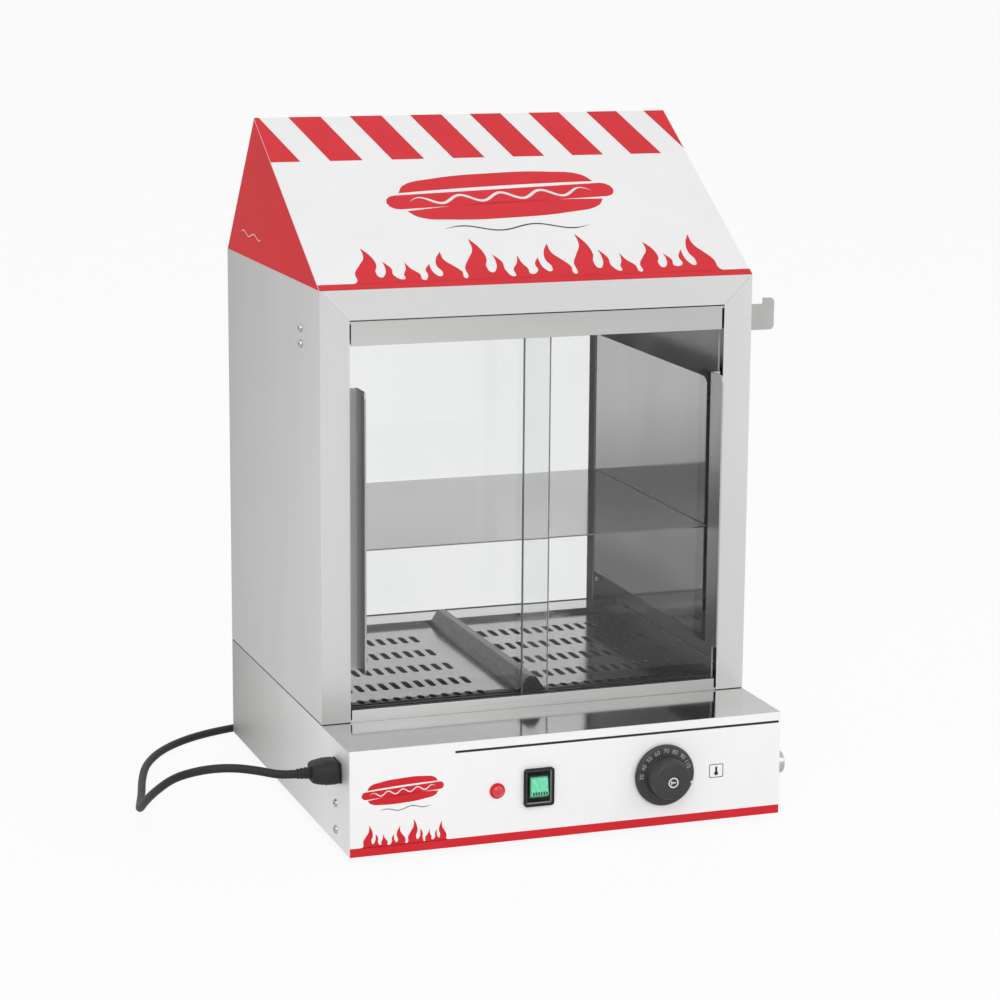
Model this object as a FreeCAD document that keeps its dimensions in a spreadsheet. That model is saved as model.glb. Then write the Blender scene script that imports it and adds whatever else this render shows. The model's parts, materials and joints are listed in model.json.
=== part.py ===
import FreeCAD, Part
import math
import os
import re
import Sketcher
from FreeCAD import Placement, Rotation, Vector

# Hot dog steamer: a glazed steam cabinet on a water base with a control console in front.
# X runs to the right, Y to the back and Z up, from the middle of the footprint on the table.

# Driving dimensions in millimetres
sizes = {
    # whole cabinet
    "width": 380,
    "cabinet_depth": 300,
    "console_depth": 80,
    "foot_height": 6,
    "base_height": 89,
    "wall_height": 362,
    "roof_rise": 123.5,
    "ridge_setback": 202,
    "roof_skin": 1.5,
    "skin": 1,
    "fit_gap": 0.5,
    "slip_gap": 0.3,
    "overrun": 2,
    # front frame and doors
    "post_width": 25,
    "header_height": 25,
    "fascia_gap": 1,
    "fascia_height": 20,
    "track_height": 11,
    "track_lip": 1.5,
    "lip_gap": 1.5,
    "track_rib": 3,
    "track_web": 2,
    "groove_width": 5,
    "glass_thick": 4,
    "glass_bite": 12,
    "door_overlap": 13,
    "door_inset": 2,
    "handle_length": 237,
    "handle_rise": 43,
    "handle_flat": 8,
    "handle_pull": 24,
    "handle_sheet": 1.5,
    "handle_round": 6,
    # rear window
    "rear_post": 31,
    "rear_header": 47,
    "rail_depth": 30,
    "rail_height": 13.5,
    "rail_setback": 7,
    "rear_glass_lap": 6,
    # steam baffles
    "baffle_standoff": 27,
    "baffle_low": 43,
    "baffle_high": 271.5,
    "baffle_front": 26,
    "baffle_back": 16,
    "baffle_round": 8,
    "spacer_radius": 5,
    "spacer_inset": 22,
    # shelf
    "shelf_rise": 142.5,
    "shelf_sheet": 1.2,
    "rest_length": 20,
    "rest_reach": 10,
    "rest_sheet": 1.5,
    "rest_inset": 30,
    # trays and the ridge between them
    "tray_height": 8.5,
    "tray_sheet": 1,
    "ridge_width": 25,
    "ridge_rise": 13.5,
    "ridge_crown": 7,
    "slot_length": 22.5,
    "slot_width": 5.5,
    "front_slot_length": 11,
    # water pan and heater
    "pan_half_width": 150,
    "pan_front": 20,
    "pan_back": 42,
    "pan_drop": 73,
    "pan_sheet": 1,
    "heater_radius": 4.25,
    "heater_half_span": 60,
    "heater_rise": 15,
    "heater_reach": 190,
    "heater_stub": 22,
    "nut_radius": 8,
    "nut_thick": 4,
    "probe_radius": 3,
    "probe_length": 36,
    "probe_rise": 24,
    "bulb_radius": 3,
    "bulb_length": 80,
    "bulb_side": 92,
    "capillary_radius": 0.8,
    "gland_radius": 6,
    # console front
    "panel_sheet": 0.8,
    "knob_side": 83.3,
    "control_rise": 44.5,
    "knob_radius": 26.2,
    "skirt_thick": 4,
    "hub_radius": 17.6,
    "hub_top_radius": 17,
    "knob_height": 20,
    "skirt_bevel": 1.5,
    "knob_bore": 12,
    "shaft_tail": 10,
    "knob_clearance": 1.2,
    "shaft_radius": 3,
    "shaft_run": 0.08,
    "bush_radius": 5,
    "thermostat_width": 40,
    "thermostat_depth": 30,
    "thermostat_height": 34,
    "switch_side": -28,
    "bezel_width": 26,
    "bezel_height": 32,
    "bezel_thick": 2,
    "switch_width": 22,
    "switch_height": 28,
    "switch_depth": 20,
    "rocker_width": 15,
    "rocker_radius": 9,
    "rocker_clearance": 0.6,
    "rocker_in": 0.8,
    "rocker_out": 3.6,
    "rocker_dip": 1.6,
    "rocker_back": 5,
    "pivot_depth": 4,
    "lamp_side": -64,
    "lens_radius": 6.5,
    "lens_height": 4.5,
    "lens_rim": 1.5,
    "lamp_radius": 5,
    "lamp_depth": 22,
    # power inlet, connector and mains plug
    "inlet_setback": 35,
    "inlet_rise": 64,
    "inlet_width": 27,
    "inlet_height": 18.5,
    "inlet_flange": 1,
    "inlet_body_width": 25,
    "inlet_body_height": 16.5,
    "inlet_depth": 20,
    "socket_width": 23,
    "socket_height": 14,
    "socket_depth": 16,
    "pin_width": 2,
    "pin_height": 4,
    "pin_spread": 7,
    "pin_length": 13,
    "connector_width": 27,
    "connector_height": 18.5,
    "connector_length": 22,
    "relief_length": 11,
    "relief_radius": 5,
    "cord_radius": 3.5,
    "turn_gap": 0.6,
    "coil_radius": 46,
    "coil_back": 216,
    "coil_side": -30,
    "tie_width": 14,
    "tie_thick": 1.2,
    "plug_radius": 18.5,
    "plug_neck_radius": 7,
    "plug_body_length": 22,
    "plug_grip_length": 24,
    "plug_relief_length": 22,
    "plug_pin_radius": 2.4,
    "plug_pin_length": 19,
    "plug_pin_spread": 9.5,
    # drain
    "drain_setback": 60,
    "drain_rise": 25.5,
    "drain_side": 120,
    "drain_radius": 6,
    "drain_bore": 4.5,
    "drain_reach": 17,
    "cap_radius": 10,
    "cap_length": 20,
    "cap_wall": 8,
    # underside
    "foot_radius": 12,
    "foot_top_radius": 10.5,
    "foot_inset": 38,
    "foot_recess_radius": 6,
    "foot_recess": 3,
    "screw_radius": 2,
    "screw_head_radius": 3.6,
    "screw_head": 1.8,
    "screw_reach": 5,
    "screw_clearance": 0.1,
    "vent_length": 40,
    "vent_width": 4,
    "vent_pitch": 12,
    # hook and wall screws
    "hook_setback": 48,
    "hook_low": 306.4,
    "hook_height": 22.7,
    "hook_reach": 43.3,
    "hook_lip": 10.6,
    "hook_lip_rise": 5.2,
    "hook_sheet": 1.5,
    "hook_leg": 20,
    "hook_round": 4,
    "hook_screw_low": 311.2,
    "hook_screw_pitch": 13,
    "console_screw_setback": 40,
    "console_screw_low": 12,
    "console_screw_pitch": 22.7,
    # electric parts inside the console
    "block_length": 44,
    "block_width": 18,
    "block_height": 16,
    "block_setback": 45,
    "wire_radius": 1.3,
}

# Counts of what repeats, and its places as shares of a tray
left_slot_columns = 12
right_slot_columns = 14
slot_rows = 4
slot_pitch_share = 0.0607
left_margin_share = 0.168
right_margin_share = 0.062
row_pitch_share = 0.1967
back_row_share = 0.201
vents_per_row = 9

# The way of the free cord from its connector to the coil behind the cabinet
cord_route = [
    (-224, -155, 70), (-237, -155, 70), (-256, -154, 75.5), (-274, -150.5, 78.5), (-291, -145, 78),
    (-307, -137, 74), (-320, -124, 66), (-329, -104, 51), (-332, -76, 34), (-330, -44, 17), (-322, -6, 6.6),
    (-311, 36, 3.8), (-301, 80, 3.8), (-287, 124, 3.8), (-262, 164, 3.8), (-226, 194, 3.8),
    (-182, 211, 3.8), (-134, 217, 4.2), (-84, 216, 5),
]

doc = FreeCAD.newDocument("steamer")
sheet = doc.addObject("Spreadsheet::Sheet", "Sizes")
for number, (alias, value) in enumerate(sizes.items(), 1):
    sheet.set(f"A{number}", alias)
    sheet.set(f"B{number}", str(value))
    sheet.setAlias(f"B{number}", alias)
doc.recompute()
pieces = []


def size(alias):
    return float(sheet.get(alias))


def spell(text):
    # puts the sheet's name before each of its aliases
    def full(word):
        return "Sizes." + word.group() if word.group() in sizes else word.group()

    return re.sub(r"[a-z_]+", full, text)


def bind(item, path, text):
    item.setExpression(path, spell(text))


def place(item, x, y, z):
    bind(item, "Placement.Base.x", x)
    bind(item, "Placement.Base.y", y)
    bind(item, "Placement.Base.z", z)


# Planes that many pieces share, as sums of the sheet's words
left = "(-width / 2)"
right = "(width / 2)"
front = "(-(cabinet_depth + console_depth) / 2)"
face = "((console_depth - cabinet_depth) / 2)"
rear = "((cabinet_depth + console_depth) / 2)"
deck = "(foot_height + base_height)"
eave = f"({deck} + wall_height)"
ridge_line = f"({face} + ridge_setback)"
front_glass = f"({face} + skin + track_lip + groove_width / 2 - glass_thick / 2)"
back_glass = f"({front_glass} + groove_width + track_rib)"
track_back = f"({face} + skin + 2 * track_lip + 2 * groove_width + track_rib)"
rail_back = f"({rear} - skin - rail_setback)"
rail_front = f"({rail_back} - rail_depth)"
fascia_low = f"({eave} - header_height - fascia_gap - fascia_height)"
control_level = "(foot_height + control_rise)"
pan_floor = f"({deck} - pan_drop)"
pan_front_wall = f"({face} + pan_front)"
pan_back_wall = f"({rear} - pan_back)"
heater_level = f"({pan_floor} + heater_rise)"
tray_low = f"({deck} + pan_sheet)"
shelf_top = f"({deck} + shelf_rise)"
inlet_line = f"({front} + inlet_setback)"
inlet_level = "(foot_height + inlet_rise)"
drain_line = f"({front} + drain_setback)"
drain_level = "(foot_height + drain_rise)"
bezel_face = f"({front} - bezel_thick)"
pivot_line = f"({bezel_face} + pivot_depth)"


def about(centre, whole):
    # a span of the given size about its centre
    return f"{centre} - {whole} / 2", f"{centre} + {whole} / 2"


def block(name, across, along, up):
    # a box between two planes each way
    item = doc.addObject("Part::Box", name)
    for side, (low, high) in zip(("Length", "Width", "Height"), (across, along, up)):
        bind(item, side, f"({high}) - ({low})")
    place(item, across[0], along[0], up[0])
    return item


axis_turns = {
    "x": Rotation(Vector(0, 1, 0), 90),
    "y": Rotation(Vector(1, 0, 0), -90),
    "z": Rotation(),
}


def rod(name, axis, radius, x, y, z):
    # a round bar: the axis gets a span of two planes, the others one plane each
    item = doc.addObject("Part::Cylinder", name)
    span = {"x": x, "y": y, "z": z}[axis]
    item.Placement = Placement(Vector(), axis_turns[axis])
    bind(item, "Radius", radius)
    bind(item, "Height", f"({span[1]}) - ({span[0]})")
    place(item, *(plane if isinstance(plane, str) else plane[0] for plane in (x, y, z)))
    return item


def nut(name, axis, x, y, z):
    # a six-sided nut along an axis
    item = doc.addObject("Part::Prism", name)
    span = {"x": x, "y": y, "z": z}[axis]
    item.Placement = Placement(Vector(), axis_turns[axis])
    item.Polygon = 6
    bind(item, "Circumradius", "nut_radius")
    bind(item, "Height", f"({span[1]}) - ({span[0]})")
    place(item, *(plane if isinstance(plane, str) else plane[0] for plane in (x, y, z)))
    return item


def joined(name, *items):
    item = doc.addObject("Part::MultiFuse", name)
    item.Shapes = list(items)
    return item


def trimmed(name, base, *tools):
    item = doc.addObject("Part::Cut", name)
    item.Base = base
    item.Tool = tools[0] if len(tools) == 1 else joined(name + "_tools", *tools)
    return item


def outline(name, plane, points):
    # a body with a closed outline of straight sides, each corner held by two bound distances
    body = doc.addObject("PartDesign::Body", name + "_body")
    sketch = body.newObject("Sketcher::SketchObject", name + "_sketch")
    origin = [item for item in body.Origin.OriginFeatures if item.Role == plane][0]
    sketch.AttachmentSupport = [(origin, "")]
    sketch.MapMode = "FlatFace"
    count = len(points)
    turns = [2 * math.pi * number / count for number in range(count)]
    corners = [Vector(math.cos(turn), math.sin(turn), 0) for turn in turns]
    for number in range(count):
        sketch.addGeometry(Part.LineSegment(corners[number], corners[(number + 1) % count]))
    for number in range(count):
        sketch.addConstraint(Sketcher.Constraint("Coincident", number, 2, (number + 1) % count, 1))
    for number, (across, up) in enumerate(points):
        first = sketch.addConstraint(Sketcher.Constraint("DistanceX", -1, 1, number, 1, corners[number].x))
        bind(sketch, f"Constraints[{first}]", across)
        second = sketch.addConstraint(Sketcher.Constraint("DistanceY", -1, 1, number, 1, corners[number].y))
        bind(sketch, f"Constraints[{second}]", up)
    return body, sketch


def drawn_out(name, plane, points, low, high):
    # an outline padded between two planes square to it
    body, sketch = outline(name, plane, points)
    pad = body.newObject("PartDesign::Pad", name + "_pad")
    pad.Profile = sketch
    bind(pad, "Length", f"({high}) - ({low})")
    axis = {"YZ_Plane": "x", "XZ_Plane": "y", "XY_Plane": "z"}[plane]
    bind(body, "Placement.Base." + axis, high if plane == "XZ_Plane" else low)
    return body


facing = {
    "up": Rotation(),
    "front": Rotation(Vector(1, 0, 0), 90),
    "back": Rotation(Vector(1, 0, 0), -90),
    "left": Rotation(Vector(0, 1, 0), -90),
    "right": Rotation(Vector(0, 1, 0), 90),
}


def turned(name, points, way, x, y, z):
    # a round piece from its half outline: radius, then distance along the way that it faces
    body, sketch = outline(name, "XZ_Plane", points)
    spun = body.newObject("PartDesign::Revolution", name + "_spun")
    spun.Profile = sketch
    spun.ReferenceAxis = (sketch, ["V_Axis"])
    spun.Angle = 360
    body.Placement = Placement(Vector(), facing[way])
    place(body, x, y, z)
    return body


def round_sheet(name, across, along, up, radius):
    # an upright sheet whose two front corners are round
    inner_front = f"{along[0]} + {radius}"
    inner_low = f"{up[0]} + {radius}"
    inner_high = f"{up[1]} - {radius}"
    return joined(
        name,
        block(name + "_main", across, (inner_front, along[1]), up),
        block(name + "_lip", across, (along[0], inner_front), (inner_low, inner_high)),
        rod(name + "_low_corner", "x", radius, across, inner_front, inner_low),
        rod(name + "_high_corner", "x", radius, across, inner_front, inner_high),
    )


def piece(label, item):
    # registers a finished sub-part under the name of its file
    item.Label = label
    pieces.append(item)
    return item


def shaped(label, shape):
    item = doc.addObject("Part::Feature", label + "_shape")
    item.Shape = shape
    return item


# Round tubes along straight runs and arcs

def middle_of_arc(start, corner, end):
    # the point halfway along the arc that touches both sides of a corner
    middle = (start + end) * 0.5
    reach = corner.sub(middle)
    half_chord = start.sub(middle).Length
    radius = half_chord * corner.sub(start).Length / reach.Length
    rise = radius - math.sqrt(radius * radius - half_chord * half_chord)
    return middle + reach * (rise / reach.Length)


def rounded_path(points, radius=None):
    # straight runs joined by tangent arcs, as wide as the two runs allow unless a radius is given
    points = [Vector(*point) for point in points]
    edges = []
    radii = []
    last = points[0]
    for before, corner, after in zip(points, points[1:], points[2:]):
        coming = corner.sub(before)
        going = after.sub(corner)
        half_turn = math.tan(coming.getAngle(going) / 2)
        cut = radius * half_turn if radius else 0.45 * min(coming.Length, going.Length)
        radii.append(cut / half_turn)
        start = corner - coming * (cut / coming.Length)
        end = corner + going * (cut / going.Length)
        edges.append(Part.LineSegment(last, start).toShape())
        edges.append(Part.Arc(start, middle_of_arc(start, corner, end), end).toShape())
        last = end
    edges.append(Part.LineSegment(last, points[-1]).toShape())
    return Part.Wire(edges), radii


def biarc(start, start_way, end, end_way):
    # two arcs that join two points with given directions, or two straight runs in line
    across = end.sub(start)
    ways = start_way + end_way
    along = across.dot(ways)
    spread = 4 - ways.dot(ways)
    if spread > 0.0001:
        reach = (math.sqrt(along * along + across.dot(across) * spread) - along) / spread
    else:
        reach = across.dot(across) / (2 * along)
    first = start + start_way * reach
    second = end - end_way * reach
    middle = (first + second) * 0.5
    return [
        Part.Arc(start, middle_of_arc(start, first, middle), middle).toShape(),
        Part.Arc(middle, middle_of_arc(middle, second, end), end).toShape(),
    ]


def swept(path, radius, start_way):
    # a round tube along a path, closed at both ends
    ring = Part.Wire([Part.Circle(path.Edges[0].Vertexes[0].Point, start_way, radius).toShape()])
    shell = Part.BRepOffsetAPI.MakePipeShell(path)
    shell.add(ring)
    shell.build()
    shell.makeSolid()
    tube = shell.shape()
    wanted = math.pi * radius * radius * path.Length
    share = round(tube.Volume / wanted, 4)
    print("tube length", round(path.Length, 1), "volume over section times length", share)
    return tube


def least_gap(path, radius):
    # the smallest clear space between parts of one tube that are not neighbours along it
    count = int(path.Length / radius)
    points = path.discretize(Number=count)
    step = path.Length / (count - 1)
    skip = int(6 * radius / step) + 1
    least = min(
        points[one].distanceToPoint(points[two])
        for one in range(count)
        for two in range(one + skip, count)
    )
    return least - 2 * radius


# Fasteners

def screw_set(label, spots, way):
    # separate screws of one kind: each spot is the place where its head meets the surface
    parts = []
    for number, (x, y, z) in enumerate(spots):
        outline_points = [
            ("0", "-screw_reach"),
            ("screw_radius", "-screw_reach"),
            ("screw_radius", "0"),
            ("screw_head_radius", "0"),
            ("screw_head_radius", "screw_head / 2"),
            ("screw_radius", "screw_head"),
            ("0", "screw_head"),
        ]
        parts.append(turned(f"{label}_{number}", outline_points, way, x, y, z))
    return joined(label + "_set", *parts)


def screw_holes(name, spots, axis):
    holes = []
    for number, (x, y, z) in enumerate(spots):
        planes = [x, y, z]
        index = "xyz".index(axis)
        middle = planes[index]
        planes[index] = (f"{middle} - screw_reach - overrun", f"{middle} + screw_reach + overrun")
        holes.append(rod(f"{name}_{number}", axis, "screw_radius + screw_clearance", *planes))
    return joined(name, *holes)


def wall_screw_spots(wall):
    level = f"{deck} + hook_screw_low"
    line = f"{face} + hook_setback + hook_leg / 2"
    return [(wall, line, level), (wall, line, f"{level} + hook_screw_pitch")]


def console_screw_spots(wall):
    line = f"{front} + console_screw_setback"
    level = "foot_height + console_screw_low"
    return [(wall, line, level), (wall, line, f"{level} + console_screw_pitch")]


def foot_spots():
    return {
        "front_left": (f"{left} + foot_inset", f"{front} + foot_inset"),
        "front_right": (f"{right} - foot_inset", f"{front} + foot_inset"),
        "back_left": (f"{left} + foot_inset", f"{rear} - foot_inset"),
        "back_right": (f"{right} - foot_inset", f"{rear} - foot_inset"),
    }


# The base with its console

def control_holes(name):
    # what goes through the printed panel and the housing behind it
    through = (f"{front} - overrun", f"{front} + panel_sheet + skin + overrun")
    return joined(
        name,
        rod(name + "_lamp", "y", "lamp_radius + screw_clearance", "lamp_side", through, control_level),
        rod(name + "_bush", "y", "bush_radius + screw_clearance", "knob_side", through, control_level),
        block(name + "_switch", about("switch_side", "switch_width"), through,
              about(control_level, "switch_height")),
    )


def slot_shape(x, y, low, length, width, height):
    # an upright prism with half-round ends, long along Y
    half = width / 2
    straight = length / 2 - half
    ends = ((-1, -1), (-1, 1), (1, 1), (1, -1))
    corners = [Vector(x + side * half, y + end * straight, low) for side, end in ends]
    far = Vector(x, y + length / 2, low)
    near = Vector(x, y - length / 2, low)
    sides = [
        Part.LineSegment(corners[0], corners[1]).toShape(),
        Part.Arc(corners[1], far, corners[2]).toShape(),
        Part.LineSegment(corners[2], corners[3]).toShape(),
        Part.Arc(corners[3], near, corners[0]).toShape(),
    ]
    return Part.Face(Part.Wire(sides)).extrude(Vector(0, 0, height))


def vent_slots(name, centre, low, height):
    # two rows of slots side by side along X
    columns = [(number - (vents_per_row - 1) / 2) * size("vent_pitch") for number in range(vents_per_row)]
    rows = (-0.75 * size("vent_length"), 0.75 * size("vent_length"))
    slots = [
        slot_shape(x, centre + y, low, size("vent_length"), size("vent_width"), height)
        for x in columns
        for y in rows
    ]
    return shaped(name, Part.makeCompound(slots))


def base_housing():
    outer = block("housing_outer", (left, right), (f"{front} + panel_sheet", rear), ("foot_height", deck))
    hollow = block("housing_hollow", (f"{left} + skin", f"{right} - skin"),
                   (f"{front} + panel_sheet + skin", f"{rear} - skin"),
                   ("foot_height - overrun", f"{deck} - skin"))
    ledge_room = block("housing_ledge_room", (f"{left} - overrun", f"{right} + overrun"),
                       (f"{front} - overrun", face), (f"{deck} - skin", f"{deck} + overrun"))
    pan_room = block("housing_pan_room", ("-pan_half_width - fit_gap", "pan_half_width + fit_gap"),
                     (f"{pan_front_wall} - fit_gap", f"{pan_back_wall} + fit_gap"),
                     (f"{deck} - skin - overrun", f"{deck} + overrun"))
    inlet_room = block("housing_inlet_room", (f"{left} - overrun", f"{left} + skin + overrun"),
                       about(inlet_line, "inlet_body_width"), about(inlet_level, "inlet_body_height"))
    drain_room = rod("housing_drain_room", "x", "drain_radius + fit_gap",
                     (f"{right} - skin - overrun", f"{right} + overrun"), drain_line, drain_level)
    back_vents = vent_slots("housing_back_vents", 0, 0, size("skin") + 2 * size("overrun"))
    back_vents.Placement = Placement(Vector(), Rotation(Vector(1, 0, 0), 90))
    place(back_vents, "0", f"{rear} + overrun", f"foot_height + base_height / 2")
    item = trimmed(
        "housing", outer, hollow, ledge_room, pan_room, inlet_room, drain_room, back_vents,
        control_holes("housing_control"),
        screw_holes("housing_left_screw_holes", console_screw_spots(left), "x"),
        screw_holes("housing_right_screw_holes", console_screw_spots(right), "x"),
    )
    piece("base_housing", item)


def control_panel():
    plate = block("panel_plate", (left, right), (front, f"{front} + panel_sheet"), ("foot_height", deck))
    piece("control_panel", trimmed("panel", plate, control_holes("panel_control")))


def top_ledge():
    piece("top_ledge", block("ledge_plate", (left, right), (f"{front} + panel_sheet", face),
                             (f"{deck} - skin", deck)))


def bottom_cover():
    plate = block("cover_plate", (f"{left} + skin + slip_gap", f"{right} - skin - slip_gap"),
                  (f"{front} + panel_sheet + skin + slip_gap", f"{rear} - skin - slip_gap"),
                  ("foot_height", "foot_height + skin"))
    vents = vent_slots("cover_vents", 0, size("foot_height") - size("overrun"),
                       size("skin") + 2 * size("overrun"))
    spots = [(x, y, "foot_height") for x, y in foot_spots().values()]
    piece("bottom_cover", trimmed("cover", plate, vents, screw_holes("cover_screw_holes", spots, "z")))


def feet():
    points = [
        ("screw_radius + screw_clearance", "foot_recess"),
        ("foot_recess_radius", "foot_recess"),
        ("foot_recess_radius", "0"),
        ("foot_radius", "0"),
        ("foot_top_radius", "foot_height"),
        ("screw_radius + screw_clearance", "foot_height"),
    ]
    for name, (x, y) in foot_spots().items():
        piece("foot_" + name, turned("foot_" + name, points, "up", x, y, "0"))
    screws = []
    for name, (x, y) in foot_spots().items():
        head = rod(f"foot_screw_head_{name}", "z", "screw_head_radius", x, y,
                   ("foot_recess - screw_head", "foot_recess"))
        shank = rod(f"foot_screw_shank_{name}", "z", "screw_radius", x, y,
                    ("foot_recess", "foot_height + skin + screw_reach"))
        screws += [head, shank]
    piece("foot_screws", joined("foot_screw_set", *screws))


def side_and_hook_screws():
    sides = (
        screw_set("console_left", console_screw_spots(left), "left"),
        screw_set("console_right", console_screw_spots(right), "right"),
        screw_set("wall", wall_screw_spots(left), "left"),
    )
    piece("side_screws", joined("side_screw_group", *sides))
    hook_spots = wall_screw_spots(f"{right} + hook_sheet")
    piece("hook_screws", screw_set("hook_screw", hook_spots, "right"))


# The water pan and what is in it

def water_pan():
    tub = block("pan_tub", ("-pan_half_width", "pan_half_width"), (pan_front_wall, pan_back_wall),
                (pan_floor, deck))
    rim = block("pan_rim", (f"{left} + skin + fit_gap", f"{right} - skin - fit_gap"),
                (f"{track_back} + fit_gap", f"{rail_front} - fit_gap"), (deck, tray_low))
    hollow = block("pan_hollow", ("-pan_half_width + pan_sheet", "pan_half_width - pan_sheet"),
                   (f"{pan_front_wall} + pan_sheet", f"{pan_back_wall} - pan_sheet"),
                   (f"{pan_floor} + pan_sheet", f"{tray_low} + overrun"))
    through = (f"{pan_front_wall} - overrun", f"{pan_front_wall} + pan_sheet + overrun")
    tools = [hollow]
    for name, x in (("left", "-heater_half_span"), ("right", "heater_half_span")):
        tools.append(rod(f"pan_heater_hole_{name}", "y", "heater_radius + screw_clearance", x, through,
                         heater_level))
    tools.append(rod("pan_probe_hole", "y", "probe_radius + screw_clearance", "0", through,
                     f"{pan_floor} + probe_rise"))
    tools.append(rod("pan_bulb_hole", "y", "capillary_radius + screw_clearance", "bulb_side", through,
                     control_level))
    tools.append(rod("pan_drain_hole", "y", "drain_bore", "drain_side", through, drain_level))
    piece("water_pan", trimmed("pan", joined("pan_body", tub, rim), *tools))


def heating_element():
    span = size("heater_half_span")
    wall = (size("console_depth") - size("cabinet_depth")) / 2 + size("pan_front")
    start = wall - size("heater_stub")
    turn = wall + size("heater_reach") - span
    level = size("foot_height") + size("base_height") - size("pan_drop") + size("heater_rise")
    edges = [
        Part.LineSegment(Vector(-span, start, level), Vector(-span, turn, level)).toShape(),
        Part.Arc(Vector(-span, turn, level), Vector(0, turn + span, level),
                 Vector(span, turn, level)).toShape(),
        Part.LineSegment(Vector(span, turn, level), Vector(span, start, level)).toShape(),
    ]
    tube = swept(Part.Wire(edges), size("heater_radius"), Vector(0, 1, 0))
    piece("heating_element", shaped("heating_element", tube))


def heater_nuts():
    nuts = []
    for name, x in (("left", "-heater_half_span"), ("right", "heater_half_span")):
        spans = ((f"{pan_front_wall} - nut_thick", pan_front_wall),
                 (f"{pan_front_wall} + pan_sheet", f"{pan_front_wall} + pan_sheet + nut_thick"))
        for number, span in enumerate(spans):
            solid = nut(f"heater_nut_solid_{name}_{number}", "y", x, span, heater_level)
            bore = rod(f"heater_nut_bore_{name}_{number}", "y", "heater_radius + screw_clearance", x,
                       (f"{span[0]} - overrun", f"{span[1]} + overrun"), heater_level)
            nuts.append(trimmed(f"heater_nut_{name}_{number}", solid, bore))
    piece("heater_nuts", joined("heater_nut_set", *nuts))


def low_water_probe():
    level = f"{pan_floor} + probe_rise"
    stem = rod("probe_stem", "y", "probe_radius", "0",
               (f"{pan_front_wall} - probe_length / 3", f"{pan_front_wall} + 2 * probe_length / 3"), level)
    head = nut("probe_nut", "y", "0", (f"{pan_front_wall} - nut_thick", pan_front_wall), level)
    piece("low_water_probe", joined("probe", stem, head))


def thermostat():
    back = f"({front} + panel_sheet + skin + thermostat_depth)"
    case = block("thermostat_case", about("knob_side", "thermostat_width"),
                 (f"{front} + panel_sheet + skin", back), about(control_level, "thermostat_height"))
    bush = rod("thermostat_bush", "y", "bush_radius", "knob_side", (front, f"{front} + panel_sheet + skin"),
               control_level)
    bore = rod("thermostat_bore", "y", "shaft_radius + shaft_run", "knob_side",
               (f"{front} - overrun", f"{front} + shaft_tail + slip_gap"), control_level)
    piece("thermostat_body", trimmed("thermostat", joined("thermostat_solid", case, bush), bore))
    bulb_start = f"({pan_front_wall} + pan_sheet + nut_thick + bulb_length / 4)"
    bulb = rod("bulb_rod", "y", "bulb_radius", "bulb_side", (bulb_start, f"{bulb_start} + bulb_length"),
               control_level)
    capillary = rod("capillary", "y", "capillary_radius", "bulb_side", (back, bulb_start), control_level)
    piece("thermostat_bulb", joined("thermostat_bulb_set", bulb, capillary))
    ring = rod("gland_ring", "y", "gland_radius", "bulb_side",
               (f"{pan_front_wall} - nut_thick", pan_front_wall), control_level)
    ring_bore = rod("gland_bore", "y", "capillary_radius + screw_clearance", "bulb_side",
                    (f"{pan_front_wall} - nut_thick - overrun", f"{pan_front_wall} + overrun"),
                    control_level)
    piece("bulb_gland", trimmed("gland", ring, ring_bore))


def thermostat_dial():
    base = f"{front} - knob_clearance"
    piece("thermostat_shaft", rod("dial_shaft", "y", "shaft_radius", "knob_side",
                                  (f"{base} - knob_bore", f"{front} + shaft_tail"), control_level))
    points = [
        ("shaft_radius", "0"),
        ("knob_radius", "0"),
        ("knob_radius", "skirt_thick - skirt_bevel"),
        ("knob_radius - skirt_bevel", "skirt_thick"),
        ("hub_radius", "skirt_thick"),
        ("hub_top_radius", "knob_height"),
        ("0", "knob_height"),
        ("0", "knob_bore"),
        ("shaft_radius", "knob_bore"),
    ]
    piece("thermostat_knob", turned("knob", points, "front", "knob_side", base, control_level))


def rocker_switch():
    frame = block("bezel_frame", about("switch_side", "bezel_width"), (bezel_face, front),
                  about(control_level, "bezel_height"))
    case = block("switch_case", about("switch_side", "switch_width"), (front, f"{front} + switch_depth"),
                 about(control_level, "switch_height"))
    reach = "(rocker_radius + rocker_clearance)"
    room = block("switch_room", about("switch_side", "(rocker_width + 2 * rocker_clearance)"),
                 (f"{bezel_face} - overrun", f"{pivot_line} + rocker_back + rocker_radius / 2"),
                 (f"{control_level} - {reach}", f"{control_level} + {reach}"))
    piece("switch_bezel", trimmed("switch", joined("switch_solid", frame, case), room))
    drum = rod("rocker_drum", "x", "rocker_radius", about("switch_side", "rocker_width"), pivot_line,
               control_level)
    points = [
        (f"{bezel_face} - rocker_in", f"{control_level} + rocker_radius"),
        (f"{bezel_face} - rocker_dip", control_level),
        (f"{bezel_face} - rocker_out", f"{control_level} - rocker_radius"),
        (f"{pivot_line} + rocker_back", f"{control_level} - rocker_radius"),
        (f"{pivot_line} + rocker_back", f"{control_level} + rocker_radius"),
    ]
    wedge = drawn_out("rocker_wedge", "YZ_Plane", points, *about("switch_side", "rocker_width"))
    rocker = doc.addObject("Part::Common", "rocker_solid")
    rocker.Base = drum
    rocker.Tool = wedge
    piece("rocker", rocker)


def indicator_lamp():
    points = [
        ("0", "0"),
        ("lens_radius", "0"),
        ("lens_radius", "lens_rim"),
        ("lens_radius - lens_rim", "lens_rim"),
        ("lens_radius - 2 * lens_rim", "lens_height"),
        ("0", "lens_height"),
    ]
    piece("lamp_lens", turned("lens", points, "front", "lamp_side", front, control_level))
    piece("lamp_body", rod("lamp_case", "y", "lamp_radius", "lamp_side", (front, f"{front} + lamp_depth"),
                           control_level))


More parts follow.
